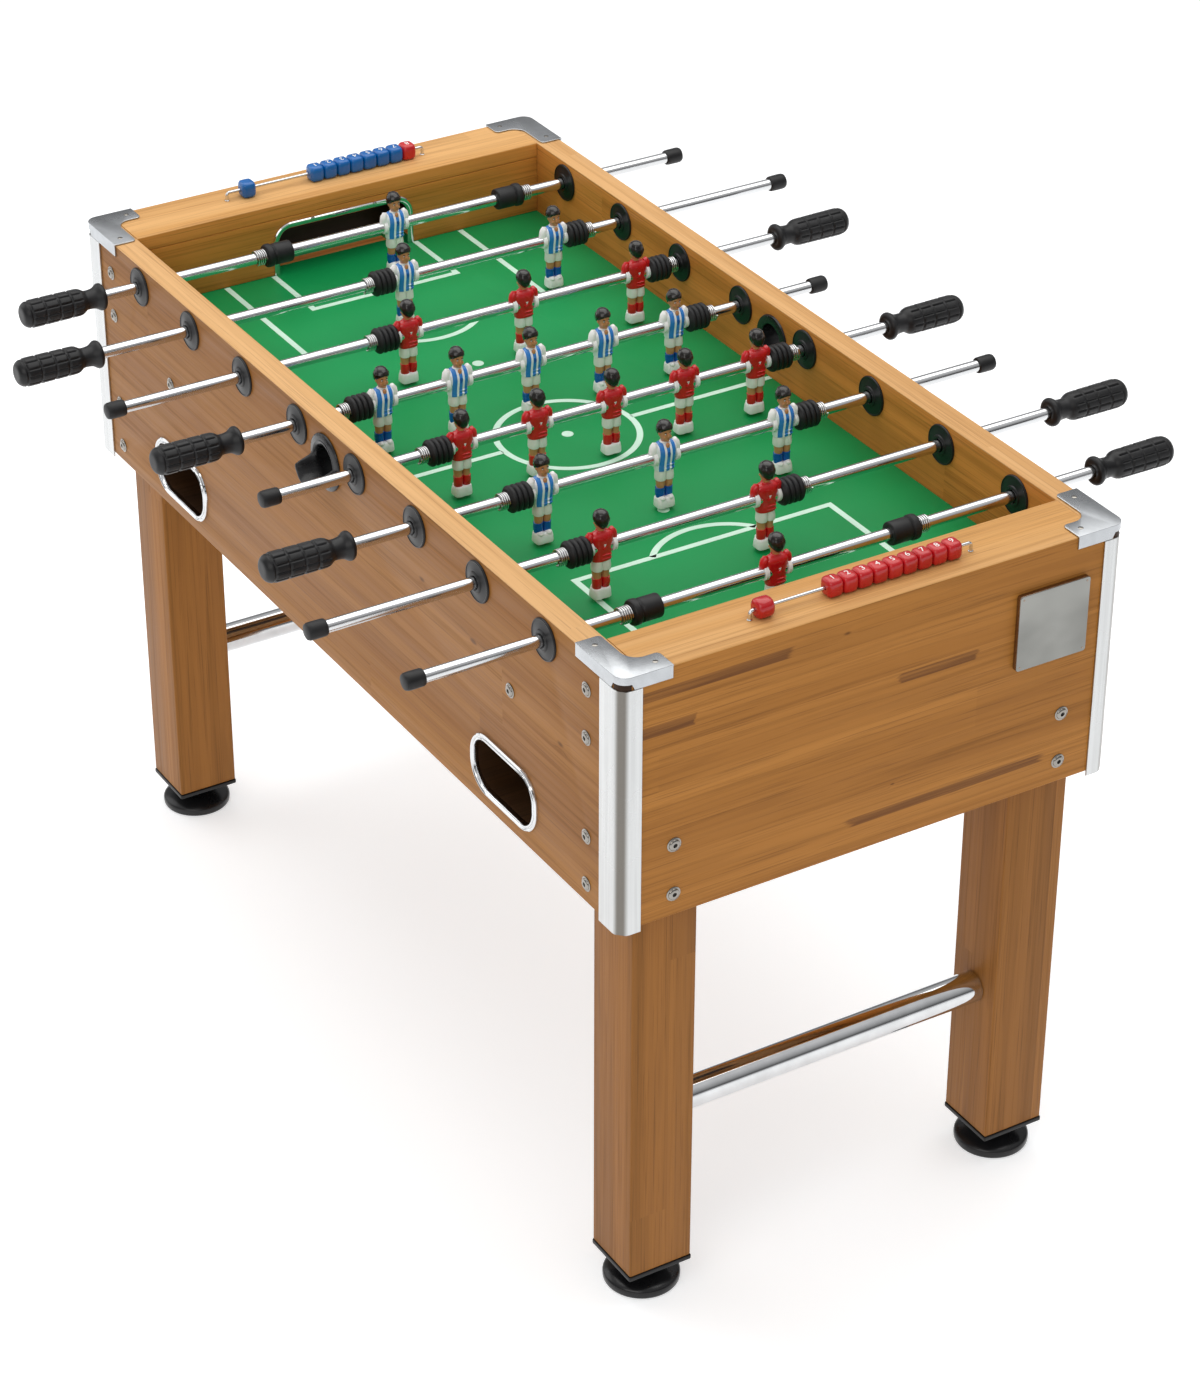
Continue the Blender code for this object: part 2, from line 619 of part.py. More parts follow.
def handle(index):
    """Moulded grip: flared guard, slim neck, thicker ribbed barrel, bored for the rod."""
    _, _, _, side, grip, _, _ = RODS[index]
    start = grip - HANDLE_LEN
    profile = [(HANDLE_BORE, 0), (HANDLE_BORE, HANDLE_BORE_R), (0, HANDLE_BORE_R), (0, 0.0146), (0.0025, 0.0188),
               (0.0070, 0.0191), (0.0150, 0.0142), (0.0270, 0.0134), (0.0340, 0.0172), (0.0400, 0.0188),
               (0.1080, 0.0194), (0.1175, 0.0168), (0.1220, 0.0110), (0.1220, 0)]
    bm = bmesh.new()
    turned(bm, [(side * (start + s), r) for s, r in profile], 12, "Y", (rod_x(index), 0, ROD_Z))
    return finish(f"handle_{index + 1}", bm)


# ---------------------------------------------------------------- the whole table
def build():
    clear_scene()
    side_panel("side_panel_left", -1, True)
    side_panel("side_panel_right", 1, False)
    end_panel("end_panel_front", 1)
    end_panel("end_panel_rear", -1)
    playfield()
    goal_box("goal_box_front", 1)
    goal_box("goal_box_rear", -1)
    corners = (("front_left", 1, -1), ("front_right", 1, 1), ("rear_left", -1, -1), ("rear_right", -1, 1))
    cap, strip = corner_cap("cap_pattern"), corner_strip("strip_pattern")
    for corner, sx, sy in corners:
        leg(f"leg_{corner}", sx, sy)
        leveler(f"leveler_{corner}", sx, sy)
        mirrored(f"corner_cap_{corner}", cap, sx, sy)
        mirrored(f"corner_strip_{corner}", strip, sx, sy)
    for pattern in (cap, strip):
        bpy.data.objects.remove(pattern, do_unlink=True)
    for place, end in (("front", 1), ("rear", -1)):
        crossbar(f"crossbar_{place}", end)
        ball_return(f"ball_return_{place}", end)
        score_rail(f"score_rail_{place}", end)
    ball_entry("ball_entry_left", -1)
    ball_entry("ball_entry_right", 1)
    beads("lead_bead_front", 1, LEAD_FRONT, 1, BIG_BEAD, BIG_BEAD_R)
    beads("bead_row_front", 1, ROW_FRONT, ROW_FRONT_N)
    beads("lead_bead_rear", -1, LEAD_REAR, 1)
    beads("bead_row_rear", -1, ROW_REAR, ROW_REAR_N)
    badge_plate()
    for index in range(len(RODS)):
        player_rod(index)
        loose_bumper(index)
        handle(index)


build()
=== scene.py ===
import math

import bmesh
import bpy
import numpy as np
from mathutils import Matrix, Vector


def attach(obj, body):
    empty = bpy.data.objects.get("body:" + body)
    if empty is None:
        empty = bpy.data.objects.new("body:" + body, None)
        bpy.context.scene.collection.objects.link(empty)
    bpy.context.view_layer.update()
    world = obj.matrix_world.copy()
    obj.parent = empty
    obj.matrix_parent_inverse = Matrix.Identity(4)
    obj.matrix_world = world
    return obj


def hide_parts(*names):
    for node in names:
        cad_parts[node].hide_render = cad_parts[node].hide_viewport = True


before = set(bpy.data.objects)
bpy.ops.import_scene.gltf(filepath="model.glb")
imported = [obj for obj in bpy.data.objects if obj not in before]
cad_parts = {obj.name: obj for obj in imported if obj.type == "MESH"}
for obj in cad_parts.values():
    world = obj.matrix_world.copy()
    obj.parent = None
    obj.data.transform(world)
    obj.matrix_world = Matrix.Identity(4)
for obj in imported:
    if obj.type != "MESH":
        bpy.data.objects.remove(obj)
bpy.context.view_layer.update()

# ------------------------------------------------------------ dimensions in metres, as in the solid model
HALF_L, HALF_W, RAIL_TOP, BOTTOM = 0.72, 0.3576, 0.958, 0.609
SIDE_T, END_T, SHELF, SHELF_T = 0.035, 0.026, 0.09, 0.022
INNER_W, GOAL_X = HALF_W - SIDE_T, HALF_L - SHELF
FIELD = 0.85
LEG, LEG_TOP = 0.0907, 0.835
LEG_X, LEG_Y = HALF_L - END_T - 0.0004 - LEG / 2, INNER_W - 0.0004 - LEG / 2
TRIM = 0.0024
PITCH, ROD_Z, ROD_R = 0.157, 0.926, 0.008
ENTRY_Z, ENTRY_LIP = 0.907, 0.026
RET_X, RET_Z, RET_W, RET_H, RET_R = 0.45, 0.672, 0.162, 0.088, 0.04
SCORE_X, SCORE_Z, SCORE_HALF = 0.68, 0.9698, 0.158
BEAD = 0.0214
SPACING = {1: 0.0, 2: 0.24, 3: 0.18, 5: 0.112}
# team, players, their middle, grip side, grip end, free end
RODS = (("blue", 1, 0.04, -1, 0.535, 0.52), ("blue", 2, 0.09, -1, 0.612, 0.6),
        ("red", 3, 0.07, 1, 0.6, 0.555), ("blue", 5, -0.01, -1, 0.563, 0.46),
        ("red", 5, 0.02, 1, 0.575, 0.491), ("blue", 3, 0.003, -1, 0.568, 0.517),
        ("red", 2, -0.066, 1, 0.612, 0.59), ("red", 1, -0.035, 1, 0.564, 0.546))
SIDE_BOLTS = ((0.645, 0.908), (0.645, 0.842), (0.467, 0.812), (0.645, 0.704), (0.645, 0.636))
END_BOLTS = ((0.283, 0.71), (0.283, 0.64))
ENDS = (("front", 1), ("rear", -1))
CORNERS = (("front_left", 1, -1), ("front_right", 1, 1), ("rear_left", -1, -1), ("rear_right", -1, 1))


# ------------------------------------------------------------ materials
class Mat:
    """A node material: add() makes a node, and a socket given as a value is linked."""

    def __init__(self, name, **fixed):
        self.mat = bpy.data.materials.new(name)
        self.mat.use_nodes = True
        self.tree = self.mat.node_tree
        self.bsdf = self.tree.nodes["Principled BSDF"]
        self.set(**fixed)

    def set(self, **inputs):
        for key, value in inputs.items():
            self.put(self.bsdf.inputs[key.replace("_", " ")], value)

    def put(self, socket, value):
        if isinstance(value, bpy.types.NodeSocket):
            self.tree.links.new(value, socket)
        elif isinstance(value, tuple) and len(value) == 3 and socket.type == "RGBA":
            socket.default_value = (*value, 1)
        else:
            socket.default_value = value

    def add(self, kind, *inputs, out=0, **props):
        node = self.tree.nodes.new("ShaderNode" + kind)
        for key, value in props.items():
            setattr(node, key, value)
        for i, value in enumerate(inputs):
            if value is not None:
                self.put(node.inputs[i], value)
        return node.outputs[out]

    def math(self, op, a, b=0.0, c=0.0):
        return self.add("Math", a, b, c, operation=op)

    def mix(self, t, a, b, blend="MIX"):
        node = self.tree.nodes.new("ShaderNodeMix")
        node.data_type, node.blend_type = "RGBA", blend
        for i, value in ((0, t), (6, a), (7, b)):
            self.put(node.inputs[i], value)
        return node.outputs[2]

    def span(self, value, a, b, lo=0.0, hi=1.0, smooth=True):
        kind = "SMOOTHSTEP" if smooth else "LINEAR"
        return self.add("MapRange", value, a, b, lo, hi, interpolation_type=kind)

    def coords(self):
        return self.add("TexCoord", out=3)

    def scaled(self, vector, scale):
        return self.add("VectorMath", vector, scale, operation="MULTIPLY")

    def split(self, vector):
        node = self.tree.nodes.new("ShaderNodeSeparateXYZ")
        self.put(node.inputs[0], vector)
        return list(node.outputs)

    def noise(self, vector, scale, detail=3.0, rough=0.5, warp=0.0):
        node = self.tree.nodes.new("ShaderNodeTexNoise")
        self.put(node.inputs["Vector"], vector)
        node.inputs["Scale"].default_value = scale
        node.inputs["Detail"].default_value = detail
        node.inputs["Roughness"].default_value = rough
        node.inputs["Distortion"].default_value = warp
        return node.outputs[0]

    def bump(self, height, strength, distance):
        node = self.tree.nodes.new("ShaderNodeBump")
        node.inputs["Strength"].default_value = strength
        node.inputs["Distance"].default_value = distance
        self.put(node.inputs["Height"], height)
        self.put(self.bsdf.inputs["Normal"], node.outputs[0])


def srgb(code):
    """Linear colour from a hex code."""
    vals = [int(code[i:i + 2], 16) / 255 for i in (0, 2, 4)]
    return tuple(v / 12.92 if v <= 0.04045 else ((v + 0.055) / 1.055) ** 2.4 for v in vals)


def wood(name, grain, across, colours, stave, length, tone=0.06, patches=(), knots=(), seed=0.0):
    """Laminated wood. grain is the axis the fibres follow, across weighs the axes that number the staves,
    and colours are light, middle and dark."""
    light, mid, dark = [srgb(code) for code in colours.split()]
    m = Mat(name, IOR=1.42, Specular_IOR_Level=0.24)
    p = m.coords()
    axis = m.split(p)
    weighed = [m.math("MULTIPLY", axis[i], across[i]) for i in range(3)]
    side = m.math("ADD", m.math("ADD", weighed[0], weighed[1]), weighed[2])
    step = m.math("ADD", m.math("DIVIDE", side, stave), 40.37 + seed)
    row = m.math("FLOOR", step)
    shift = m.add("TexWhiteNoise", None, row, noise_dimensions="1D")
    offset = m.math("MULTIPLY_ADD", shift, 7.0, 30.0)
    block = m.math("FLOOR", m.math("ADD", m.math("DIVIDE", axis[grain], length), offset))
    pair = m.add("CombineXYZ", row, block, seed)
    pick = m.add("TexWhiteNoise", pair, noise_dimensions="3D", out=0)
    wide, fine, hair = [24.0] * 3, [150.0] * 3, [480.0] * 3
    wide[grain], fine[grain], hair[grain] = 0.55, 2.2, 6.0
    place = m.add("VectorMath", p, m.scaled(pair, (0.017, 0.013, 0.011)), operation="ADD")
    squash = tuple(0.42 if i == grain else 1.0 for i in range(3))
    reaches = []
    for centre, size in knots:
        # fibres bend round a knot
        away = m.add("VectorMath", p, centre, operation="SUBTRACT")
        reaches.append(m.add("VectorMath", m.scaled(away, squash), out=1, operation="LENGTH"))
        push = m.span(reaches[-1], size * 0.6, size * 3.2, 0.9, 0.0)
        place = m.add("VectorMath", place, m.scaled(away, push), operation="ADD")
    figure = m.noise(m.scaled(place, tuple(wide)), 1.0, 2.0, 0.5, 0.2)
    rings = m.math("SINE", m.math("MULTIPLY", figure, 70.0))
    fibre = m.noise(m.scaled(place, tuple(fine)), 1.0, 5.0, 0.66)
    pores = m.noise(m.scaled(place, tuple(hair)), 1.0, 3.0, 0.6)
    body = m.mix(m.span(figure, 0.34, 0.66), mid, light)
    body = m.mix(m.math("MULTIPLY", m.span(rings, 0.0, 1.0), 0.1), body, dark)
    body = m.mix(m.math("MULTIPLY", m.span(fibre, 0.5, 0.72), 0.34), body, dark)
    body = m.mix(m.math("MULTIPLY", m.span(pores, 0.54, 0.7), 0.38), body, dark)
    level = m.span(pick, 0.0, 1.0, 1.0 - tone, 1.0 + tone * 0.7, smooth=False)
    shade = m.add("CombineXYZ", level, m.math("POWER", level, 1.15), m.math("POWER", level, 1.3))
    body = m.mix(1.0, body, shade, blend="MULTIPLY")
    edge = m.math("ABSOLUTE", m.math("SUBTRACT", m.math("FRACT", step), 0.5))
    body = m.mix(m.math("MULTIPLY", m.span(edge, 0.488, 0.5), 0.16), body, dark)
    for centre, half, strength in patches:
        inside = m.span(fibre, 0.32, 0.6, 0.45, 1.0)
        for i in range(3):
            if half[i] is not None:
                ragged = m.math("SUBTRACT", fibre if i == grain else figure, 0.5)
                wobble = m.math("MULTIPLY_ADD", ragged, half[i] * (0.5 if i == grain else 1.3),
                                m.math("ABSOLUTE", m.math("SUBTRACT", axis[i], centre[i])))
                inside = m.math("MULTIPLY", inside, m.span(wobble, half[i] * 0.95, half[i] * 1.03, 1.0, 0.0))
        body = m.mix(m.math("MULTIPLY", inside, strength), body, srgb("61381a"))
    for reach, (centre, size) in zip(reaches, knots):
        ragged = m.math("MULTIPLY_ADD", m.math("SUBTRACT", fibre, 0.5), size * 1.3, reach)
        body = m.mix(m.math("MULTIPLY", m.span(ragged, size * 0.2, size * 1.1, 1.0, 0.0), 0.72), body, dark)
    m.set(Base_Color=body, Roughness=m.span(fibre, 0.3, 0.75, 0.4, 0.54))
    m.bump(m.math("MULTIPLY_ADD", pores, 0.6, fibre), 0.12, 0.0005)
    return m.mat


def metal(name, colour, lo, hi, streak=(30.0, 30.0, 30.0), shade=None, deep=0.9):
    """Metal whose roughness and tone vary in fine streaks and faint smudges.
    shade is near, far and amount of a painted shade. It darkens the hollow flute down the middle of the
    corner strips, where x and y are equally far from the table's corner."""
    m = Mat(name, Metallic=1.0)
    p = m.coords()
    lines = m.noise(m.scaled(p, streak), 1.0, 3.0, 0.55)
    smudge = m.noise(p, 9.0, 3.0, 0.5)
    tone = m.mix(m.span(lines, 0.3, 0.7), tuple(c * deep for c in colour), colour)
    if shade:
        x, y = m.split(p)[:2]
        apart = m.math("SUBTRACT", m.math("ABSOLUTE", x), m.math("ABSOLUTE", y))
        flute = m.math("ABSOLUTE", m.math("SUBTRACT", apart, HALF_L - HALF_W))
        # painted shade: the hollow flute down the middle of the strip is darkened
        tone = m.mix(m.span(flute, shade[0], shade[1], shade[2], 0.0), tone, (0.15, 0.135, 0.115))
    m.set(Base_Color=tone, Roughness=m.span(smudge, 0.3, 0.7, lo, hi))
    return m.mat


def plastic(name, colour, rough, grain=400.0, depth=0.05, coat=0.0, vary=0.12, spec=0.5):
    """Moulded plastic or rubber with a fine skin texture and slight unevenness."""
    m = Mat(name, IOR=1.45, Coat_Weight=coat, Coat_Roughness=0.12, Specular_IOR_Level=spec)
    p = m.coords()
    skin = m.noise(p, grain, 3.0, 0.6)
    patch = m.noise(p, 22.0, 3.0, 0.5)
    m.set(Base_Color=m.mix(m.span(patch, 0.3, 0.7), tuple(c * (1 - vary) for c in colour),
                           tuple(min(1.0, c * (1 + vary * 0.6) + 0.001) for c in colour)),
          Roughness=m.span(patch, 0.25, 0.75, rough - 0.06, rough + 0.08))
    m.bump(skin, depth, 0.0005)
    return m.mat


def field_green():
    m = Mat("field_green", IOR=1.4, Specular_IOR_Level=0.35)
    p = m.coords()
    cloud = m.noise(p, 2.0, 3.0, 0.5)
    speck = m.noise(p, 900.0, 2.0, 0.6)
    base = m.mix(m.span(cloud, 0.3, 0.7), srgb("0a8946"), srgb("169854"))
    base = m.mix(m.math("MULTIPLY", m.span(speck, 0.45, 0.75), 0.16), base, srgb("0a5a2c"))
    m.set(Base_Color=base, Roughness=m.span(cloud, 0.3, 0.7, 0.4, 0.52))
    m.bump(speck, 0.08, 0.0003)
    return m.mat


def striped(base, stripe):
    """Shirt paint with vertical stripes down the front, back and sleeves."""
    m = Mat("shirt_striped", IOR=1.47, Coat_Weight=0.35, Coat_Roughness=0.12)
    p = m.coords()
    y, z = m.split(p)[1:]
    y = m.math("ABSOLUTE", y)
    centre = m.span(y, 0.0023, 0.0025, 1.0, 0.0)
    outer = m.math("MULTIPLY", m.span(y, 0.0054, 0.0056), m.span(y, 0.0114, 0.0116, 1.0, 0.0))
    sleeve = m.math("MULTIPLY", m.span(y, 0.0178, 0.018), m.span(z, -0.002, -0.0016))
    mask = m.math("MAXIMUM", m.math("MAXIMUM", centre, outer), sleeve)
    patch = m.noise(p, 180.0, 2.0, 0.5)
    colour = m.mix(mask, base, stripe)
    m.set(Base_Color=m.mix(m.math("MULTIPLY", m.span(patch, 0.4, 0.8), 0.1), colour, (0.25, 0.27, 0.3)),
          Roughness=m.span(patch, 0.3, 0.7, 0.24, 0.36))
    m.bump(m.noise(p, 1500.0, 2.0, 0.5), 0.05, 0.0003)
    return m.mat


# dark patches on the end panels: centre, half sizes, strength
PATCHES = (((0, -0.24, 0.9245), (None, 0.118, 0.0072), 0.75),
           ((0, -0.296, 0.877), (None, 0.04, 0.0082), 0.8),
           ((0, 0.09, 0.8385), (None, 0.058, 0.007), 0.7),
           ((0, 0.112, 0.6535), (None, 0.148, 0.0064), 0.75))
# knots: centre, size
END_KNOTS = (((0.72, -0.046, 0.926), 0.003), ((0.72, 0.03, 0.69), 0.0018))
SIDE_KNOTS = (((0.585, -0.3576, 0.8), 0.0042), ((0.378, -0.3576, 0.835), 0.004),
              ((0.25, -0.3576, 0.858), 0.0036), ((-0.13, 0.3576, 0.78), 0.0038))
LEG_KNOTS = (((0.648, -0.2314, 0.3), 0.003), ((0.6024, 0.25, 0.255), 0.0034))
M = {
    # the board woods are copies of one wood that differ by which way a face looks: tops are painted lighter
    # and outer faces darker than the light alone makes them, as painted light and shade
    "end_face_painted_shade": wood("wood_end_panel_painted_shade", 1, (0, 0, 1), "bb7e38 a96f2d 54300f", 0.058, 1.45, 0.05, PATCHES,
                     END_KNOTS),
    "end_top_painted_light": wood("wood_end_rail_painted_light", 1, (1, 0, 0), "dcab70 cf9a5b 8f6234", 0.045, 0.9, 0.05, seed=3.0),
    "side_top_painted_light": wood("wood_side_rail_painted_light", 0, (0, 1, 0), "dcae78 cf9e66 94683c", 0.06, 1.6, 0.04, seed=5.0),
    "side_face_painted_shade": wood("wood_side_panel_painted_shade", 0, (0, 0, 1), "a16d33 925f28 583414", 0.087, 1.5, 0.05, (),
                      SIDE_KNOTS, 1.0),
    # the inner walls take the same wood painted lighter and warmer, against the shade and green bounce they
    # get: painted light
    "inner": wood("wood_inner_wall_painted_light", 0, (0, 0, 1), "d88c42 c47a34 663b14", 0.054, 1.4, 0.07, seed=7.0),
    "inner_end_painted_light": wood("wood_goal_wall_painted_light", 1, (0, 0, 1), "dc9448 c88238 6b431a", 0.045, 1.3, 0.07, seed=8.0),
    "leg": wood("wood_leg", 2, (1, 1, 0), "a26b30 8f5d26 4e2c0d", 0.064, 2.0, 0.07, (), LEG_KNOTS, 2.0),
    "board": wood("board_underside", 0, (0, 1, 0), "a37a4f 8f683f 5f4222", 0.12, 1.1, 0.08, seed=9.0),
    "dark_wood": wood("wood_dark_lining", 1, (0, 0, 1), "3a2514 2c1b0e 150c06", 0.05, 0.5, 0.2, seed=4.0),
    "chrome": metal("chrome", (0.74, 0.75, 0.76), 0.04, 0.11),
    "rod": metal("rod_chrome", (0.76, 0.77, 0.78), 0.11, 0.17, (12.0, 5.0, 12.0)),
    # corner strip silver, with painted shade darkening its flute
    "silver": metal("silver_trim", (0.66, 0.67, 0.67), 0.24, 0.32, (220.0, 220.0, 4.0),
                    (0.0045, 0.015, 0.92)),
    "cap": metal("silver_cap", (0.54, 0.56, 0.58), 0.22, 0.32, (60.0, 60.0, 60.0)),
    "brushed": metal("square_plate", (0.33, 0.33, 0.31), 0.13, 0.19, (3.0, 6.0, 9.0), None, 0.66),
    "plate_edge": metal("square_plate_edge", (0.34, 0.27, 0.22), 0.16, 0.24),
    "steel": metal("spring_steel", (0.7, 0.7, 0.7), 0.14, 0.24),
    "bolt": metal("bolt_steel", (0.34, 0.32, 0.29), 0.1, 0.2),
    # near black: the players' pupils, and painted shade on the bolt socket floors
    "socket_shade_and_pupil_black": plastic("painted_socket_shade_and_pupil_black", (0.012, 0.011, 0.01), 0.6),
    "rubber": plastic("black_rubber", (0.011, 0.011, 0.012), 0.46, 700.0, 0.12, vary=0.3, spec=0.4),
    "grip": plastic("grip_black", (0.01, 0.01, 0.011), 0.4, 900.0, 0.14, vary=0.3, spec=0.4),
    "black": plastic("black_plastic", (0.01, 0.01, 0.011), 0.36, 600.0, 0.06, vary=0.3, spec=0.4),
    "gloss_black": plastic("black_gloss_plastic", (0.009, 0.009, 0.01), 0.28, 300.0, 0.03, 0.15, 0.3,
                           spec=0.4),
    "field": field_green(),
    "line": plastic("line_paint", srgb("cfeedb"), 0.45, 900.0, 0.04, vary=0.03),
    "bead_red": plastic("bead_red", srgb("c0121a"), 0.26, 300.0, 0.03, 0.4, 0.1),
    "bead_blue": plastic("bead_blue", srgb("0062ae"), 0.26, 300.0, 0.03, 0.3, 0.1),
    "digit": plastic("digit_white", srgb("f4f4f0"), 0.4, 900.0, 0.03, vary=0.03),
    "skin": plastic("player_skin", srgb("c98a5c"), 0.34, 300.0, 0.04, 0.25, 0.07),
    "hair": plastic("player_hair", srgb("17120f"), 0.26, 500.0, 0.2, 0.4, 0.3),
    "white": plastic("player_white", srgb("f5f4f2"), 0.32, 400.0, 0.04, 0.25, 0.04),
    "shorts": plastic("player_shorts", srgb("efece6"), 0.34, 400.0, 0.05, 0.25, 0.06),
    "blue": plastic("player_blue", srgb("0f57b0"), 0.3, 400.0, 0.04, 0.3, 0.1),
    "red": plastic("player_red", srgb("cc131a"), 0.28, 400.0, 0.04, 0.35, 0.1),
    "striped": striped(srgb("f3f6fa"), srgb("2a80d2")),
    "lip": plastic("player_lip", srgb("a05a44"), 0.4, 400.0, 0.03),
}


# ------------------------------------------------------------ mesh helpers
def piece(name, bm, mats, body="table", nodes=(), slot=None, sharp=32.0, normals=True):
    """Turn a bmesh into a smooth-shaded piece that rides on a body; edges over sharp degrees stay crisp."""
    bmesh.ops.remove_doubles(bm, verts=bm.verts, dist=1e-7)
    if normals:
        bmesh.ops.recalc_face_normals(bm, faces=bm.faces)
    me = bpy.data.meshes.new(name)
    bm.to_mesh(me)
    bm.free()
    return place(name, me, mats, body, nodes, slot, sharp)


def place(name, me, mats, body, nodes, slot, sharp=32.0, at=None, turn=0.0):
    """Put a mesh in the scene, on its body and in place of its solids; at and turn set a shared mesh down."""
    ob = bpy.data.objects.new(name, me)
    bpy.context.scene.collection.objects.link(ob)
    if not me.materials:
        for key in mats:
            me.materials.append(M[key])
        me.shade_smooth()
        me.set_sharp_from_angle(angle=math.radians(sharp))
    if at is not None:
        ob.matrix_world = Matrix.Translation(at) @ Matrix.Rotation(turn, 4, "Z")
    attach(ob, body)
    if nodes:
        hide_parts(*nodes)
    return ob


def grid(bm, rings, mat=0, loop=False, matrix=None):
    """Skin a list of closed rings; loop joins the last ring to the first, otherwise both ends are capped."""
    n = len(rings[0])
    rows = [[bm.verts.new(matrix @ Vector(p) if matrix else p) for p in ring] for ring in rings]
    pairs = list(zip(rows, rows[1:])) + ([(rows[-1], rows[0])] if loop else [])
    for a, b in pairs:
        for i in range(n):
            j = (i + 1) % n
            bm.faces.new((a[i], a[j], b[j], b[i])).material_index = mat
    if not loop:
        bm.faces.new(list(reversed(rows[0]))).material_index = mat
        bm.faces.new(rows[-1]).material_index = mat


def ring(r, s, n):
    """Circle of n points, radius r, at height s."""
    return [(r * math.cos(2 * math.pi * i / n), r * math.sin(2 * math.pi * i / n), s) for i in range(n)]


def lathe(bm, profile, n=48, matrix=None, mat=0, loop=False):
    """Revolve (s, r) pairs about local Z."""
    grid(bm, [ring(max(r, 1e-5), s, n) for s, r in profile], mat, loop, matrix)


def to_axis(axis, at, sign=1):
    """Local Z becomes the named axis, X or Y; the local origin goes to a point."""
    angle, about = (-sign, "X") if axis == "Y" else (sign, "Y")
    return Matrix.Translation(at) @ Matrix.Rotation(angle * math.pi / 2, 4, about)


def smooth_profile(points, per=6):
    """Catmull-Rom curve through (s, r) points."""
    p = np.array([points[0]] + list(points) + [points[-1]], float)
    out = []
    for i in range(1, len(p) - 2):
        for t in np.arange(per) / per:
            a, b, c, d = p[i - 1], p[i], p[i + 1], p[i + 2]
            out.append(tuple(0.5 * (2 * b + (c - a) * t + (2 * a - 5 * b + 4 * c - d) * t ** 2
                                    + (3 * b - a - 3 * c + d) * t ** 3)))
    return out + [tuple(p[-2])]


def block(bm, lo, hi, bevel=0.001, segs=3):
    """Box with rounded edges."""
    part = bmesh.new()
    v = [part.verts.new((x, y, z)) for x in (lo[0], hi[0]) for y in (lo[1], hi[1]) for z in (lo[2], hi[2])]
    for f in ((0, 1, 3, 2), (4, 6, 7, 5), (0, 4, 5, 1), (2, 3, 7, 6), (0, 2, 6, 4), (1, 5, 7, 3)):
        part.faces.new([v[i] for i in f])
    bmesh.ops.recalc_face_normals(part, faces=part.faces)
    if bevel:
        bmesh.ops.bevel(part, geom=list(part.edges), offset=bevel, segments=segs, profile=0.5, affect="EDGES")
    merge(bm, part)


def merge(bm, part, mat=0, matrix=None):
    """Add part to bm, with one material, and free it."""
    for f in part.faces:
        f.material_index = mat
    if matrix:
        bmesh.ops.transform(part, matrix=matrix, verts=part.verts)
    me = bpy.data.meshes.new("part")
    part.to_mesh(me)
    part.free()
    bm.from_mesh(me)
    bpy.data.meshes.remove(me)


def arc(cx, cy, r, a0, a1, n):
    """Points from angle a0 to a1, both ends included."""
    turns = [a0 + (a1 - a0) * i / n for i in range(n + 1)]
    return [(cx + r * math.cos(a), cy + r * math.sin(a)) for a in turns]


def rounded(w, h, r, n=10, cx=0.0, cy=0.0):
    """Rectangle with round corners."""
    pts = []
    for k, (sx, sy) in enumerate(((1, 1), (-1, 1), (-1, -1), (1, -1))):
        pts += arc(cx + sx * (w / 2 - r), cy + sy * (h / 2 - r), r, k * math.pi / 2, (k + 1) * math.pi / 2, n)
    return pts


def plate(bm, loops, depth, bevel=0.0008, matrix=None, mat=0, res=2):
    """Flat shape with holes, extruded about local z = 0 with rounded edges."""
    cu = bpy.data.curves.new("plate", "CURVE")
    cu.dimensions, cu.fill_mode = "2D", "BOTH"
    cu.extrude, cu.bevel_depth, cu.bevel_resolution, cu.offset = depth / 2 - bevel, bevel, res, -bevel
    for pts in loops:
        sp = cu.splines.new("POLY")
        sp.points.add(len(pts) - 1)
        for q, (x, y) in zip(sp.points, pts):
            q.co = (x, y, 0, 1)
        sp.use_cyclic_u = True
    from_curve(bm, cu, matrix, mat)


def from_curve(bm, cu, matrix=None, mat=0):
    """Turn a curve or text into mesh and add it to bm."""
    ob = bpy.data.objects.new("curve", cu)
    bpy.context.scene.collection.objects.link(ob)
    me = bpy.data.meshes.new_from_object(ob.evaluated_get(bpy.context.evaluated_depsgraph_get()))
    bpy.data.objects.remove(ob)
    part = bmesh.new()
    part.from_mesh(me)
    bpy.data.meshes.remove(me)
    bmesh.ops.remove_doubles(part, verts=part.verts, dist=1e-6)
    merge(bm, part, mat, matrix)


def tube(bm, path, r, n=12):
    """Round wire along a path."""
    cu = bpy.data.curves.new("tube", "CURVE")
    cu.dimensions, cu.bevel_depth, cu.bevel_resolution, cu.use_fill_caps = "3D", r, n // 4, True
    sp = cu.splines.new("POLY")
    sp.points.add(len(path) - 1)
    for q, p in zip(sp.points, path):
        q.co = (*p, 1)
    from_curve(bm, cu)


def flat(axis, at):
    """Matrix for plates that lie across an axis: X takes (y, z) outlines and Y takes (x, z) ones."""
    cols = ((0, 1, 0), (0, 0, 1), (1, 0, 0)) if axis == "X" else ((1, 0, 0), (0, 0, 1), (0, -1, 0))
    return Matrix.Translation(at) @ Matrix(cols).transposed().to_4x4()


def circle(r, n, cx=0.0, cy=0.0):
    """Outline of a round hole."""
    return [(cx + x, cy + y) for x, y, _ in ring(r, 0, n)]


def rod_x(k):
    """Place of rod k along the table, counted from 0 at the rear."""
    return (k - 3.5) * PITCH


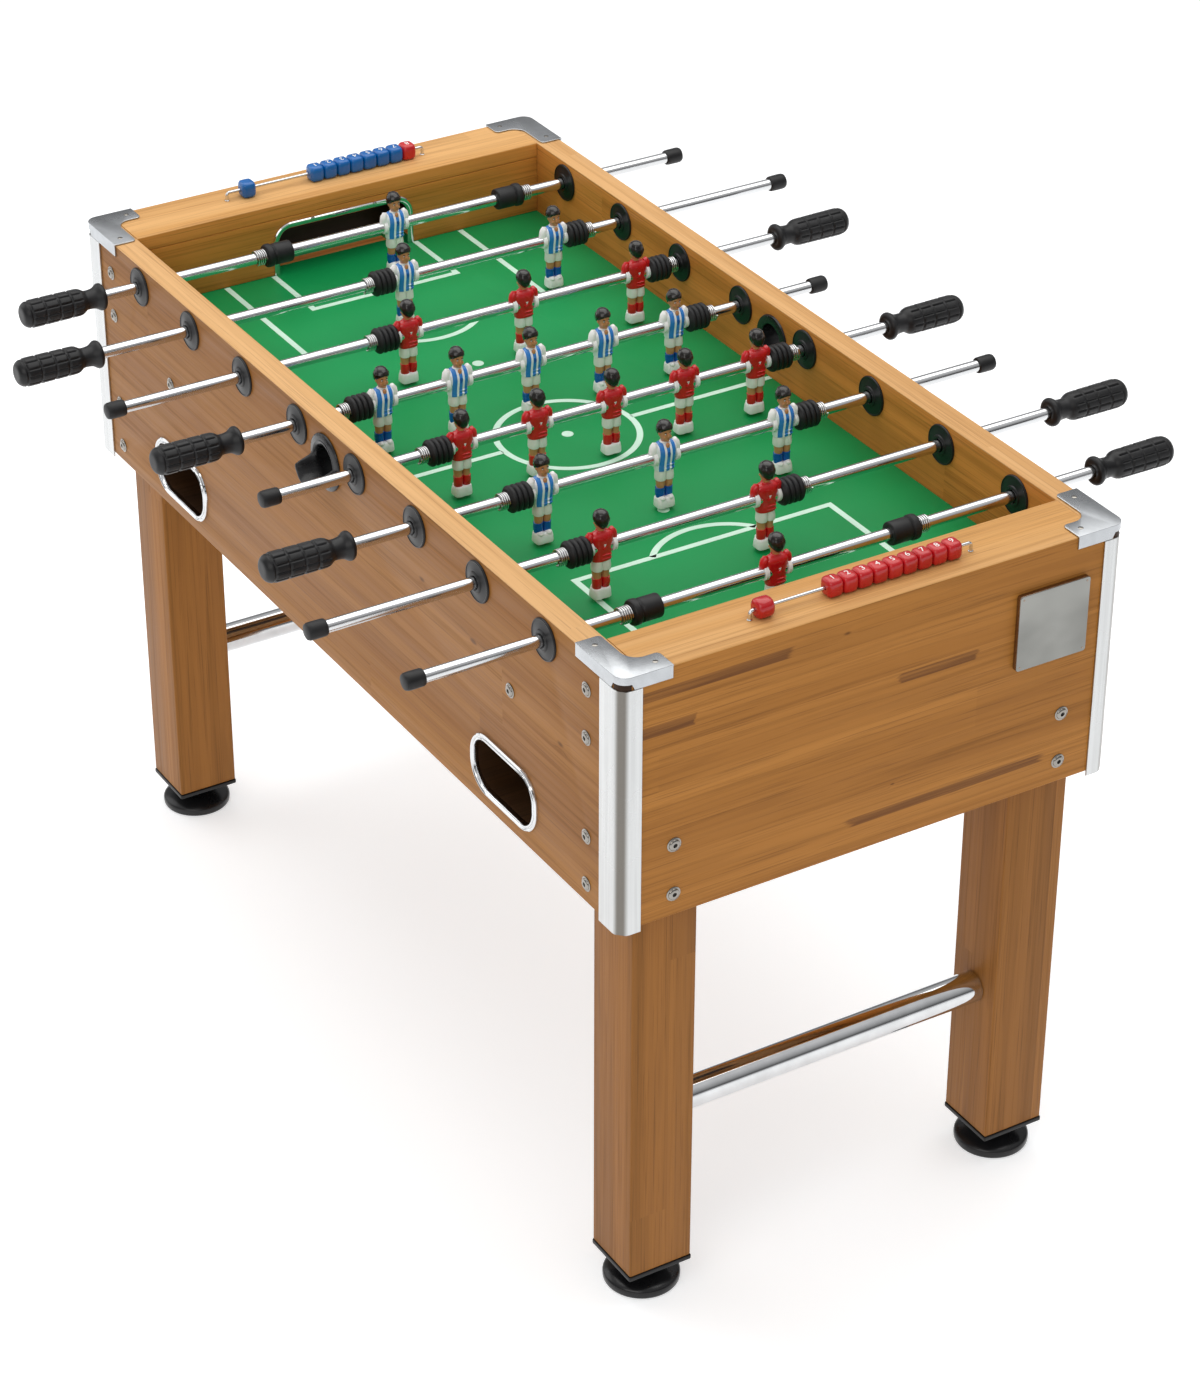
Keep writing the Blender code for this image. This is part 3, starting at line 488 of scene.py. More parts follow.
# ------------------------------------------------------------ cabinet
def side_wall(tag, side, returns):
    """Veneered side board with its bearing holes, ball entry and ball returns. Its top strip and inner face
    take copies of the wood painted lighter, its outer face a copy painted darker: painted light and shade.
    """
    x1 = HALF_L - END_T - 0.0004
    mid = side * (HALF_W - SIDE_T / 2)
    holes = [circle(0.0098, 24, rod_x(k), ROD_Z) for k in range(8)] + [circle(0.025, 40, 0, ENTRY_Z)]
    for s in (-1, 1) if returns else ():
        holes.append(rounded(RET_W - 0.015, RET_H - 0.015, RET_R - 0.0075, 10, s * RET_X, RET_Z))
    outline = [(-x1, BOTTOM), (x1, BOTTOM), (x1, RAIL_TOP), (-x1, RAIL_TOP)]
    bm = bmesh.new()
    plate(bm, [outline] + holes, SIDE_T, 0.0014, flat("Y", (0, mid, 0)), 0, 3)
    # painted light and shade: top faces take the lighter copy of the wood, inner faces the lighter, warmer
    # copy, outer faces the darker copy
    for f in bm.faces:
        c, n = f.calc_center_median(), f.normal
        if c.z > RAIL_TOP - 0.0016:
            f.material_index = 1
        elif n.y * side < -0.5:
            f.material_index = 2
    piece(f"side_wall_{tag}", bm, ("side_face_painted_shade", "side_top_painted_light", "inner"), nodes=(f"side_panel_{tag}",),
          slot="side_wood", sharp=40)


def end_wall(tag, end):
    """Board and wide rail in one piece: an L-shaped section swept across the table, round at both ends."""
    x0, r, reach = HALF_L - END_T, 0.014, INNER_W - 0.0004
    straight = HALF_W - r
    turn = [straight + r * math.sin(t) for t in np.linspace(0, math.pi / 2, 9)]
    stations = [(y, False) for y in turn[::-1]] + [(reach, False), (reach, True)]
    stations += [(y, True) for y in np.linspace(reach, -reach, 13)[1:]]
    stations += [(-reach, False)] + [(-y, False) for y in turn]
    under = RAIL_TOP - SHELF_T
    rows = []
    for y, shelf in stations:
        x1 = HALF_L - r + math.sqrt(max(0.0, r * r - max(0.0, abs(y) - straight) ** 2))
        e, inner = 0.0018, GOAL_X if shelf else x0
        section = [(x0, BOTTOM + 0.0008), (x0 + 0.0008, BOTTOM), (x1 - 0.001, BOTTOM), (x1, BOTTOM + 0.001)]
        section += arc(x1 - e, RAIL_TOP - e, e, 0, math.pi / 2, 4)
        section += arc(inner + e, RAIL_TOP - e, e, math.pi / 2, math.pi, 4)
        section += [(inner, under + 0.001), (inner + (0.001 if shelf else 0.0), under), (x0, under)]
        rows.append([(end * x, y, z) for x, z in section])
    bm = bmesh.new()
    grid(bm, rows)
    bmesh.ops.recalc_face_normals(bm, faces=bm.faces)
    bm.normal_update()
    # painted light and shade: upward faces take the lighter copy of the wood, inward faces the lighter,
    # warmer copy, the rest the darker copy
    for f in bm.faces:
        f.material_index = 1 if f.normal.z > 0.4 else (2 if f.normal.x * end < -0.4 else 0)
    piece(f"end_board_{tag}", bm, ("end_face_painted_shade", "end_top_painted_light", "inner_end_painted_light"), nodes=(f"end_panel_{tag}",),
          slot="end_wood", sharp=40)
    # inner end wall, goal cheeks and dark lining
    bm = bmesh.new()
    a, t, top = GOAL_X, 0.012, under - 0.0004
    lo = FIELD + 0.0004
    mouth = [(-0.107, lo), (-0.107, 0.9)] + arc(-0.085, 0.9, 0.022, math.pi, math.pi / 2, 10)[1:]
    mouth += arc(0.085, 0.9, 0.022, math.pi / 2, 0, 10) + [(0.107, lo)]
    wall = [(-reach, lo)] + mouth + [(reach, lo), (reach, top), (-reach, top)]
    plate(bm, [wall], t, 0.0006, flat("X", (end * (a + t / 2), 0, 0)))
    goal = f"goal_box_{tag}"
    # the goal wall takes the copy of the wood painted lighter and warmer: painted light
    piece(f"goal_wall_{tag}", bm, ("inner_end_painted_light",), nodes=(goal,), slot="end_wood", sharp=40)
    bm = bmesh.new()
    for s in (-1, 1):
        xs = sorted((end * (a + t + 0.0006), end * (x0 - 0.001)))
        ys = sorted((s * 0.1095, s * 0.119))
        block(bm, (xs[0], ys[0], lo), (xs[1], ys[1], top), 0.0006, 2)
    xs = sorted((end * (x0 - 0.0009), end * (x0 - 0.0002)))
    block(bm, (xs[0], -0.109, lo), (xs[1], 0.109, top), 0.0)
    xs = sorted((end * (a + t + 0.001), end * (x0 - 0.0012)))
    block(bm, (xs[0], -0.109, top - 0.0012), (xs[1], 0.109, top - 0.0002), 0.0)
    piece(f"goal_lining_{tag}", bm, ("dark_wood",), nodes=(goal,), slot="end_wood")
    # bright frame round the mouth
    path = [(-0.1045, lo + 0.0006), (-0.1045, 0.8985)]
    path += arc(-0.0835, 0.8985, 0.021, math.pi, math.pi / 2, 12)[1:]
    path += arc(0.0835, 0.8985, 0.021, math.pi / 2, 0, 12) + [(0.1045, 0.8985), (0.1045, lo + 0.0006)]
    n = len(path)
    rows = []
    for i, (y, z) in enumerate(path):
        p0, p1 = path[max(0, i - 1)], path[min(n - 1, i + 1)]
        d = Vector((p1[0] - p0[0], p1[1] - p0[1])).normalized()
        out = Vector((-d.y, d.x))
        xf, back = a - 0.0032, a + t + 0.0012
        section = [(0.0022, back), (0.0022, a - 0.0006), (0.0034, xf + 0.0012), (0.0052, xf), (0.01, xf),
                   (0.0114, xf + 0.0012), (0.0114, a - 0.0003), (0.0028, a - 0.0003), (0.0024, a + 0.0004),
                   (0.0024, back)]
        rows.append([(end * x, y + out.x * (o - 0.003), z + out.y * (o - 0.003)) for o, x in section])
    bm = bmesh.new()
    grid(bm, rows)
    for y, z in ((-0.05, 0.9265), (0.05, 0.9265)):
        lathe(bm, [(0, 0.0), (0, 0.003), (0.001, 0.0027), (0.0016, 0.0016), (0.0018, 0)], 16,
              to_axis("X", (end * (a - 0.0032), y, z), -end))
    piece(f"goal_frame_{tag}", bm, ("chrome",), nodes=(goal,), slot="chrome", sharp=35)


side_wall("left", -1, True)
side_wall("right", 1, False)
for tag, end in ENDS:
    end_wall(tag, end)

# field board, its lines and the framing under it
bm = bmesh.new()
fx, fy = HALF_L - END_T - 0.0004, INNER_W - 0.0004
drop = ((0.656, -0.09), (0.686, -0.09), (0.686, 0.09), (0.656, 0.09))
board = [[(-fx, -fy), (fx, -fy), (fx, fy), (-fx, fy)]] + [[(s * x, y) for x, y in drop] for s in (-1, 1)]
plate(bm, board, 0.008, 0.0005, Matrix.Translation((0, 0, FIELD - 0.004)))
for f in bm.faces:
    if f.normal.z < -0.5:
        f.material_index = 1
piece("field_board", bm, ("field", "board"), nodes=("playfield",), slot="field_green", sharp=40)


def stripe(bm, pts, width=0.0085, closed=False):
    """Painted line of even width along points on the field."""
    n = len(pts)
    left, right = [], []
    for i in range(n):
        p = Vector(pts[i])
        prev = Vector(pts[i - 1]) if closed or i else None
        nxt = Vector(pts[(i + 1) % n]) if closed or i < n - 1 else None
        d0 = (p - prev).normalized() if prev is not None else (nxt - p).normalized()
        d1 = (nxt - p).normalized() if nxt is not None else d0
        d = (d0 + d1).normalized()
        across = Vector((-d.y, d.x)) * (width / 2 / max(0.5, d.dot(d1)))
        left.append(p + across)
        right.append(p - across)
    lo, hi = FIELD + 0.00002, FIELD + 0.0004
    rings = [[(a.x, a.y, hi), (b.x, b.y, hi), (b.x, b.y, lo), (a.x, a.y, lo)] for a, b in zip(left, right)]
    grid(bm, rings, 0, closed)


bm = bmesh.new()
for s in (-1, 1):
    stripe(bm, [(0, s * 0.099), (0, s * 0.321)])
stripe(bm, circle(0.096, 96), closed=True)
for s, area, box in ((-1, 0.372, 0.505), (1, 0.338, 0.515)):
    stripe(bm, [(s * 0.628, -0.19), (s * area, -0.19), (s * area, 0.19), (s * 0.628, 0.19)])
    half = math.asin(0.077 / 0.098)
    bow = [(s * (area + 0.06 - 0.098 * math.cos(t)), 0.098 * math.sin(t))
           for t in np.linspace(-half, half, 33)]
    stripe(bm, bow)
    stripe(bm, [(s * 0.628, -0.115), (s * box, -0.115), (s * box, 0.115), (s * 0.628, 0.115)])
spot = [(0.00002, 0), (0.00002, 0.008), (0.0005, 0.008), (0.0005, 0)]
for x in (-0.24, 0.0, 0.24):
    lathe(bm, spot, 32, Matrix.Translation((x, 0, FIELD)))
piece("field_lines", bm, ("line",), nodes=("playfield",), slot="field_green")

bm = bmesh.new()
for s in (-1, 1):
    block(bm, (-0.6, s * 0.299 - 0.011, 0.819), (0.6, s * 0.299 + 0.011, 0.8416), 0.0008, 2)
for x in (-0.3, 0.0, 0.3):
    block(bm, (x - 0.01, -0.286, 0.819), (x + 0.01, 0.286, 0.8416), 0.0008, 2)
piece("field_battens", bm, ("board",), slot="side_wood")


def trough(name, end):
    """Sloping tray that carries a ball from the goal to the return opening in the side wall."""
    bm = bmesh.new()
    lo, hi = sorted((end * 0.375, end * 0.525))
    y0, y1 = -(INNER_W - 0.029), 0.06
    z0, z1 = RET_Z - 0.037, RET_Z + 0.006
    # floor and two side boards: near edge, far edge, bottom, top
    for x, far, low, high in ((lo, hi, -0.004, 0.0), (lo, lo + 0.004, -0.004, 0.074),
                              (hi - 0.004, hi, -0.004, 0.074)):
        grid(bm, [[(x, y, z + low), (far, y, z + low), (far, y, z + high), (x, y, z + high)]
                  for y, z in ((y0, z0), (y1, z1))])
    block(bm, (lo, y1, z1 - 0.004), (hi, y1 + 0.004, z1 + 0.074), 0.0005, 1)
    piece(name, bm, ("dark_wood",), slot="side_wood")


trough("ball_tray_front", 1)
trough("ball_tray_rear", -1)


# ------------------------------------------------------------ bolts, bearings and corner trim
def dome_bolt(bm, matrix):
    """Domed cap screw on a washer, with a hexagon socket; material 1 is a near-black plate on the socket
    floor, painted shade.
    """
    lathe(bm, [(0.0, 0.0), (0.0, 0.0094), (0.0008, 0.0098), (0.0012, 0.0094), (0.0012, 0.0)], 32, matrix)
    dome = [(0.0011, 0.0001), (0.0011, 0.0076)]
    for t in np.linspace(0, math.pi / 2, 7):
        dome.append((0.0013 + 0.0024 * math.sin(t), 0.0036 + 0.004 * math.cos(t)))
    lathe(bm, dome + [(0.0037, 0.003), (0.0034, 0.0028), (0.0016, 0.0027), (0.0016, 0.0001)], 36, matrix)
    # painted shade: a near-black plate at the bottom of the socket
    grid(bm, [ring(0.0026, z, 6) for z in (0.0017, 0.00185)], 1, matrix=matrix)


def bearing(bm, matrix):
    """Flanged bush: domed flange with a raised rim and a round hub on each face of the wall."""
    h = SIDE_T / 2
    face = ((0.0002, 0.0271), (0.0012, 0.0273), (0.0026, 0.0268), (0.003, 0.0258), (0.0024, 0.0246),
            (0.0026, 0.0215), (0.0038, 0.016), (0.0042, 0.0142), (0.0056, 0.0134), (0.0061, 0.0124),
            (0.0062, 0.0104), (0.0055, 0.009))
    prof = [(-h - s, r) for s, r in reversed(face)] + [(-h + 0.0002, 0.0271), (-h + 0.0002, 0.0096)]
    prof += [(h - 0.0002, 0.0096), (h - 0.0002, 0.0271)] + [(h + s, r) for s, r in face]
    prof += [(h + 0.004, 0.0085), (-h - 0.004, 0.0085)]
    lathe(bm, prof, 56, matrix, 0, True)


for tag, side in (("left", -1), ("right", 1)):
    bm = bmesh.new()
    for x, z in SIDE_BOLTS:
        for s in (-1, 1):
            dome_bolt(bm, to_axis("Y", (s * x, side * HALF_W, z), side))
    piece(f"side_bolts_{tag}", bm, ("bolt", "socket_shade_and_pupil_black"), nodes=(f"side_panel_{tag}",), slot="chrome", sharp=50)
    for k in range(8):
        bm = bmesh.new()
        bearing(bm, to_axis("Y", (rod_x(k), side * (HALF_W - SIDE_T / 2), ROD_Z)))
        piece(f"rod_bearing_{tag}_{k + 1}", bm, ("black",), nodes=(f"side_panel_{tag}",),
              slot="black_plastic", sharp=28)
for tag, end in ENDS:
    bm = bmesh.new()
    for y, z in END_BOLTS:
        for s in (-1, 1):
            dome_bolt(bm, to_axis("X", (end * HALF_L, s * y, z), end))
    piece(f"end_bolts_{tag}", bm, ("bolt", "socket_shade_and_pupil_black"), nodes=(f"end_panel_{tag}",), slot="chrome", sharp=50)


def corner_cap(name, sx, sy):
    """Pressed metal corner with a scooped inner edge, a skirt down each outer face and two screws."""
    ox, oy = HALF_L + TRIM, HALF_W + TRIM
    r, w, e = 0.016, 0.0334, 0.006
    ix, iy, s = ox - w, oy - w, 0.02
    outline = arc(ox - r, oy - r, r, 0, math.pi / 2, 14)
    outline += [(ox - 0.1, oy)] + arc(ox - 0.1 + e, iy + e, e, math.pi, 1.5 * math.pi, 6)
    outline += list(reversed(arc(ix - s, iy - s, s, 0, math.pi / 2, 14)))
    outline += arc(ix + e, oy - 0.072 + e, e, math.pi, 1.5 * math.pi, 6) + [(ox, oy - 0.072)]
    bm = bmesh.new()
    plate(bm, [outline], 0.0018, 0.0007, Matrix.Translation((0, 0, 0.9595)), 0, 3)
    t = TRIM - 0.0004
    # skirt wraps the two faces; the rounded corner is cut higher than the flats
    path = [(ox - 0.0992, oy), (ox - 0.02, oy)] + arc(ox - r, oy - r, r, math.pi / 2, 0, 14)
    path += [(ox, oy - 0.02), (ox, oy - 0.0712)]
    rows = []
    for i, (x, y) in enumerate(path):
        nx, ny = (x - ox + r) / r, (y - oy + r) / r
        if y > oy - 1e-6 and x < ox - r:
            nx, ny = 0, 1
        elif x > ox - 1e-6 and y < oy - r:
            nx, ny = 1, 0
        low = 0.942 if i <= 1 or i >= len(path) - 2 else 0.95
        section = ((0.0001, 0.9596), (0.0001, low + 0.0006), (0.0007, low), (t, low), (t, 0.959))
        rows.append([(x - nx * d, y - ny * d, z) for d, z in section])
    grid(bm, rows)
    for x, y in ((ox - 0.083, oy - 0.0165), (ox - 0.0165, oy - 0.057)):
        lathe(bm, [(0, 0), (0, 0.0036), (0.0004, 0.0035), (0.0008, 0.0022), (0.0009, 0.0008),
                   (0.0004, 0.0006), (0.0004, 0)], 20, Matrix.Translation((x, y, 0.9602)), 1)
    bmesh.ops.transform(bm, matrix=Matrix.Diagonal((sx, sy, 1, 1)), verts=bm.verts)
    piece(f"metal_corner_{name}", bm, ("cap", "bolt"), nodes=(f"corner_cap_{name}",), slot="silver_trim",
          sharp=30)


def corner_strip(name, sx, sy):
    """Drawn edge strip: flat wings, rounded corner with a shallow flute down the middle."""
    ox, oy, r, t, quarter = HALF_L + TRIM, HALF_W + TRIM, 0.0164, TRIM - 0.0004, math.pi / 2

    def bend(depth, start, stop, n, z):
        return [(ox - r + (r - depth) * math.cos(a), oy - r + (r - depth) * math.sin(a), z)
                for a in np.linspace(start, stop, n)]

    outer = [(ox, HALF_W - 0.0282), (ox, HALF_W - 0.0266)]
    for a in np.linspace(0, math.pi / 2, 25):
        depth = 0.0011 * math.exp(-((a - math.pi / 4) / 0.3) ** 4)
        outer.append((ox - r + (r - depth) * math.cos(a), oy - r + (r - depth) * math.sin(a)))
    outer += [(HALF_L - 0.0414, oy), (HALF_L - 0.043, oy)]
    rings = []
    for z in (0.603, 0.6034, 0.9412, 0.9416):
        inset = 0.0005 if z in (0.603, 0.9416) else 0.0
        pts = [(x - inset * (x > ox - r), y - inset * (y > oy - r), z) for x, y in outer]
        pts += [(HALF_L - 0.043, oy - t, z)] + bend(t, quarter, 0, 25, z) + [(ox - t, HALF_W - 0.0282, z)]
        rings.append(pts)
    bm = bmesh.new()
    grid(bm, rings)
    # narrow neck that runs up under the corner piece, in the near-black lining wood: painted shade in the
    # notch below the corner piece
    grid(bm, [bend(0.0014, 0, quarter, 13, z) + bend(t, quarter, 0, 13, z) for z in (0.941, 0.958)], 1)
    bmesh.ops.transform(bm, matrix=Matrix.Diagonal((sx, sy, 1, 1)), verts=bm.verts)
    piece(f"edge_strip_{name}", bm, ("silver", "dark_wood"), nodes=(f"corner_strip_{name}",),
          slot="silver_trim", sharp=30)


def leg(name, sx, sy):
    """Square post with eased edges, its thin end plate, and the adjustable foot."""
    cx, cy, h = sx * LEG_X, sy * LEG_Y, LEG / 2
    bm = bmesh.new()
    block(bm, (cx - h, cy - h, 0.0462), (cx + h, cy + h, LEG_TOP), 0.0022, 3)
    piece(f"leg_post_{name}", bm, ("leg",), nodes=(f"leg_{name}",), slot="leg_wood", sharp=40)
    bm = bmesh.new()
    o = 2 * h + 0.0024
    plate(bm, [rounded(o, o, 0.003, 5), circle(0.0066, 24)], 0.006, 0.001,
          Matrix.Translation((cx, cy, 0.043)))
    piece(f"leg_plate_{name}", bm, ("black",), nodes=(f"leg_{name}",), slot="black_plastic", sharp=40)
    for q, (axis, dx, dy) in enumerate((("X", -sx, 0), ("Y", 0, -sy))):
        bm = bmesh.new()
        for z in (0.636, 0.704):
            dome_bolt(bm, to_axis(axis, (cx + dx * h, cy + dy * h, z), dx + dy))
        piece(f"leg_nuts_{name}_{q + 1}", bm, ("bolt", "socket_shade_and_pupil_black"), nodes=(f"leg_{name}",), slot="chrome",
              sharp=50)
    bm = bmesh.new()
    dome = smooth_profile([(0.003, 0.05), (0.0085, 0.0502), (0.012, 0.0488), (0.015, 0.044), (0.018, 0.036),
                           (0.0215, 0.027), (0.0245, 0.02), (0.0262, 0.0178)], 5)
    prof = [(0.0, 0.0), (0.0, 0.047), (0.0008, 0.0488)] + dome
    prof += [(0.0268, 0.016), (0.0262, 0.014), (0.0268, 0.0132), (0.028, 0.0)]
    lathe(bm, prof, 72, Matrix.Translation((cx, cy, 0)))
    corners = [math.pi * (k + 0.5) / 3 for k in range(6)]
    nut = [[(cx + r * math.cos(a), cy + r * math.sin(a), z) for a in corners]
           for z, r in ((0.027, 0.0118), (0.0276, 0.0126), (0.0336, 0.0126), (0.0342, 0.0118))]
    grid(bm, nut, 1)
    # thread turns on the stud
    turns, z0, z1 = 26, 0.0335, 0.0775
    prof = [(z0, 0.0), (z0, 0.0052)]
    for k in range(turns):
        z = z0 + (z1 - z0) * (k + 0.5) / turns
        prof += [(z - 0.0004, 0.0052), (z, 0.0059), (z + 0.0004, 0.0052)]
    lathe(bm, prof + [(z1, 0.005), (z1, 0.0)], 20, Matrix.Translation((cx, cy, 0)), 1)
    piece(f"foot_{name}", bm, ("gloss_black", "black"), body=f"foot_{name}", nodes=(f"leveler_{name}",),
          slot="black_plastic", sharp=35)


for name, sx, sy in CORNERS:
    corner_cap(name, sx, sy)
    corner_strip(name, sx, sy)
    leg(name, sx, sy)


def crossbar(name, end):
    """Round tube held between two legs."""
    y1, r, wall = INNER_W - LEG - 0.0008, 0.0212, 0.0015
    bm = bmesh.new()
    prof = [(-y1, r - 0.0006), (-y1 + 0.0004, r)] + [(y, r) for y in np.linspace(-y1 + 0.02, y1 - 0.02, 9)]
    prof += [(y1 - 0.0004, r), (y1, r - 0.0006), (y1, r - wall), (-y1, r - wall)]
    lathe(bm, prof, 72, to_axis("Y", (end * LEG_X, 0, 0.268)), 0, True)
    piece(f"stretcher_{name}", bm, ("chrome",), nodes=(f"crossbar_{name}",), slot="chrome", sharp=30)


def ball_return(name, end):
    """Double-ribbed bright surround with a dark sleeve through the wall."""
    h = SIDE_T / 2
    mid = -(HALF_W - h)
    n = 14

    def row(s, inset):
        outline = rounded(RET_W - 2 * inset, RET_H - 2 * inset, RET_R - inset, n)
        return [(end * RET_X + x, mid - s, RET_Z + z) for x, z in outline]

    # distance out from the wall's face, inset from the opening's outline
    rim = ((0.0003, 0.0002), (0.0022, 0.0006), (0.0034, 0.0018), (0.0036, 0.003), (0.0028, 0.0042),
           (0.0016, 0.005), (0.0018, 0.0058), (0.0032, 0.0064), (0.0039, 0.0074), (0.0036, 0.0084),
           (0.002, 0.0092), (-0.004, 0.0095), (-0.004, 0.0081), (0.0003, 0.0079))
    bm = bmesh.new()
    grid(bm, [row(h + s, i) for s, i in rim], 0, True)
    piece(f"return_rim_{name}", bm, ("chrome",), nodes=(f"ball_return_{name}",), slot="chrome", sharp=28)
    bm = bmesh.new()
    sleeve = ((h - 0.0041, 0.0081), (h - 0.0041, 0.0095), (-h - 0.025, 0.0095), (-h - 0.025, 0.0081))
    grid(bm, [row(s, i) for s, i in sleeve], 0, True)
    piece(f"return_sleeve_{name}", bm, ("dark_wood",), nodes=(f"ball_return_{name}",), slot="side_wood",
          sharp=40)


def ball_entry(name, side):
    """Round serving chute: flange inside, stepped flange outside with an open-topped scoop below."""
    h, n = SIDE_T / 2, 72
    mid = side * (HALF_W - h)
    # distance out from the wall's inner or outer face, radius, and outside the share of the scoop's reach
    inside = ((0.0026, 0.0224), (0.0034, 0.0232), (0.0034, 0.033), (0.0028, 0.0346), (0.0004, 0.0354),
              (0.0004, 0.0246))
    outside = ((0.0004, 0.0246, 0), (0.0004, 0.0386, 0), (0.0014, 0.039, 0), (0.0028, 0.0384, 0),
               (0.0036, 0.0368, 0), (0.004, 0.035, 0), (0.0046, 0.033, 0), (0.0049, 0.0312, 0.15),
               (0.0051, 0.0303, 0.5), (0.0053, 0.0298, 0.9), (0.0055, 0.0293, 1), (0.0056, 0.0284, 1),
               (0.0054, 0.0274, 1), (0.005, 0.0268, 0.98), (0.0046, 0.0258, 0.7), (0.004, 0.0246, 0.35),
               (0.003, 0.0234, 0.1), (0.0018, 0.0225, 0), (-0.001, 0.0223, 0))
    rows = []
    for s, r, share in [(-h - s, r, 0) for s, r in inside] + [(h + s, r, share) for s, r, share in outside]:
        row = []
        for i in range(n):
            a = 2 * math.pi * i / n
            t = min(1.0, max(0.0, (0.1 - math.sin(a)) / 0.4))
            out = s + share * ENTRY_LIP * t * t * (3 - 2 * t)
            row.append((r * math.cos(a), mid + side * out, ENTRY_Z + r * math.sin(a)))
        rows.append(row)
    bm = bmesh.new()
    grid(bm, rows, 0, True)
    piece(f"serving_cup_{name}", bm, ("gloss_black",), nodes=(f"ball_entry_{name}",), slot="black_plastic",
          sharp=30)


for name, end in ENDS:
    crossbar(name, end)
    ball_return(name, end)
ball_entry("left", -1)
ball_entry("right", 1)

bm = bmesh.new()
plate(bm, [rounded(0.1046, 0.1046, 0.003, 4, 0.254, 0.851)], 0.0066, 0.0006,
      flat("X", (HALF_L + 0.0036, 0, 0)), 1)
plate(bm, [rounded(0.105, 0.105, 0.004, 5, 0.254, 0.851)], 0.0016, 0.0007, flat("X", (HALF_L + 0.0074, 0, 0)),
      0, 4)
for y, z in ((-1, -1), (-1, 1), (1, -1), (1, 1)):
    lathe(bm, [(0.0001, 0), (0.0001, 0.0014), (0.0005, 0.0012), (0.0006, 0)], 16,
          to_axis("X", (HALF_L + 0.0081, 0.254 + 0.0475 * y, 0.851 + 0.0475 * z)), 1)
piece("square_plate", bm, ("brushed", "plate_edge"), nodes=("badge_plate",), slot="chrome", sharp=35)


# ------------------------------------------------------------ score counters
def digit_mesh(text):
    """Thin raised figure for the top of a counting bead."""
    cu = bpy.data.curves.new("digit", "FONT")
    cu.body, cu.size, cu.extrude, cu.align_x, cu.align_y = text, 0.0125, 0.00012, "CENTER", "CENTER"
    return cu


def bead(name, x, y, z, colour, body, node, number="", facing=0.0, length=BEAD, girth=1.07, square=1.0):
    """Counting bead with soft square shoulders and a bore for the bar; girth and square scale its section."""
    h = length / 2 - 0.00015
    # distance in from the end, half size, squareness
    shoulder = ((0.0, 0.0056, 3.2), (0.0004, 0.0074, 3.4), (0.0016, 0.0094, 3.8), (0.0036, 0.0106, 4.2))
    stations = [(s - h, half, e) for s, half, e in shoulder]
    stations += [(-h * 0.35, 0.0108, 4.4), (h * 0.35, 0.0108, 4.4)]
    stations += [(h - s, half, e) for s, half, e in reversed(shoulder)]
    rings = []
    for s, half, e in stations:
        row, e, half = [], e * square, half * girth
        for c, d, _ in ring(1.0, 0, 36):
            k = half / (abs(c) ** e + abs(d) ** e) ** (1 / e)
            row.append((x + k * c, y + s, z + k * d))
        rings.append(row)
    inner = [[(x + c, y + s, z + d) for c, d, _ in ring(0.0028, 0, 36)] for s in (h, -h)]
    bm = bmesh.new()
    grid(bm, rings + inner, 0, True)
    if number:
        turn = Matrix.Rotation(facing, 4, "Z")
        from_curve(bm, digit_mesh(number), Matrix.Translation((x, y, z + 0.0108 * girth)) @ turn, 1)
    slot = "red_bead" if node.endswith("front") else "blue_bead"
    piece(name, bm, (colour, "digit"), body=body, nodes=(node,), slot=slot, sharp=40, normals=False)


for name, end, lead, first, count in (("front", 1, -0.14, -0.043, 9), ("rear", -1, -0.126, -0.017, 8)):
    x, h, r = end * SCORE_X, SCORE_HALF, 0.0045
    path = [(-h, RAIL_TOP + 0.0004)] + arc(-h + r, SCORE_Z - r, r, math.pi, math.pi / 2, 6)
    path += arc(h - r, SCORE_Z - r, r, math.pi / 2, 0, 6) + [(h, RAIL_TOP + 0.0004)]
    bm = bmesh.new()
    tube(bm, [(x, y, z) for y, z in path], 0.0023, 16)
    for s in (-1, 1):
        lathe(bm, [(0, 0), (0, 0.0032), (0.0005, 0.0034), (0.0009, 0.003), (0.001, 0)], 24,
              Matrix.Translation((x, s * h, RAIL_TOP + 0.0002)))
    piece(f"score_bar_{name}", bm, ("chrome",), nodes=(f"score_rail_{name}",), slot="chrome", sharp=35)
    facing = end * math.pi / 2
    own = "bead_red" if end > 0 else "bead_blue"
    # the front lead bead is rounder and larger than the rest
    shape = {"length": 0.0236, "girth": 1.12, "square": 0.6} if end > 0 else {}
    lift = 0.0004 if end > 0 else 0.0
    bead(f"counter_lead_{name}", x, lead, SCORE_Z + lift, own, f"lead_bead_{name}_slider",
         f"lead_bead_{name}", **shape)
    for k in range(count):
        colour = "bead_red" if end < 0 and k == count - 1 else own
        bead(f"counter_{name}_{k + 1}", x, first + k * BEAD, SCORE_Z, colour, f"bead_row_{name}_slider",
             f"bead_row_{name}", str(k + 1), facing)


# ------------------------------------------------------------ players
def oval(z, cx, cy, rx, ry, e=2.0, n=28, pinch=0.0):
    """Superellipse ring; pinch draws in the middle of the front and back."""
    pts = []
    for i in range(n):
        c, s = math.cos(2 * math.pi * i / n), math.sin(2 * math.pi * i / n)
        k = 1 / (abs(c) ** e + abs(s) ** e) ** (1 / e)
        x, y = k * c * rx, k * s * ry
        x *= 1 - pinch * math.exp(-(y / 0.0024) ** 2)
        pts.append((cx + x, cy + y, z))
    return pts


def stack(bm, rows, mat, **kw):
    grid(bm, [oval(*r, **kw) for r in rows], mat)


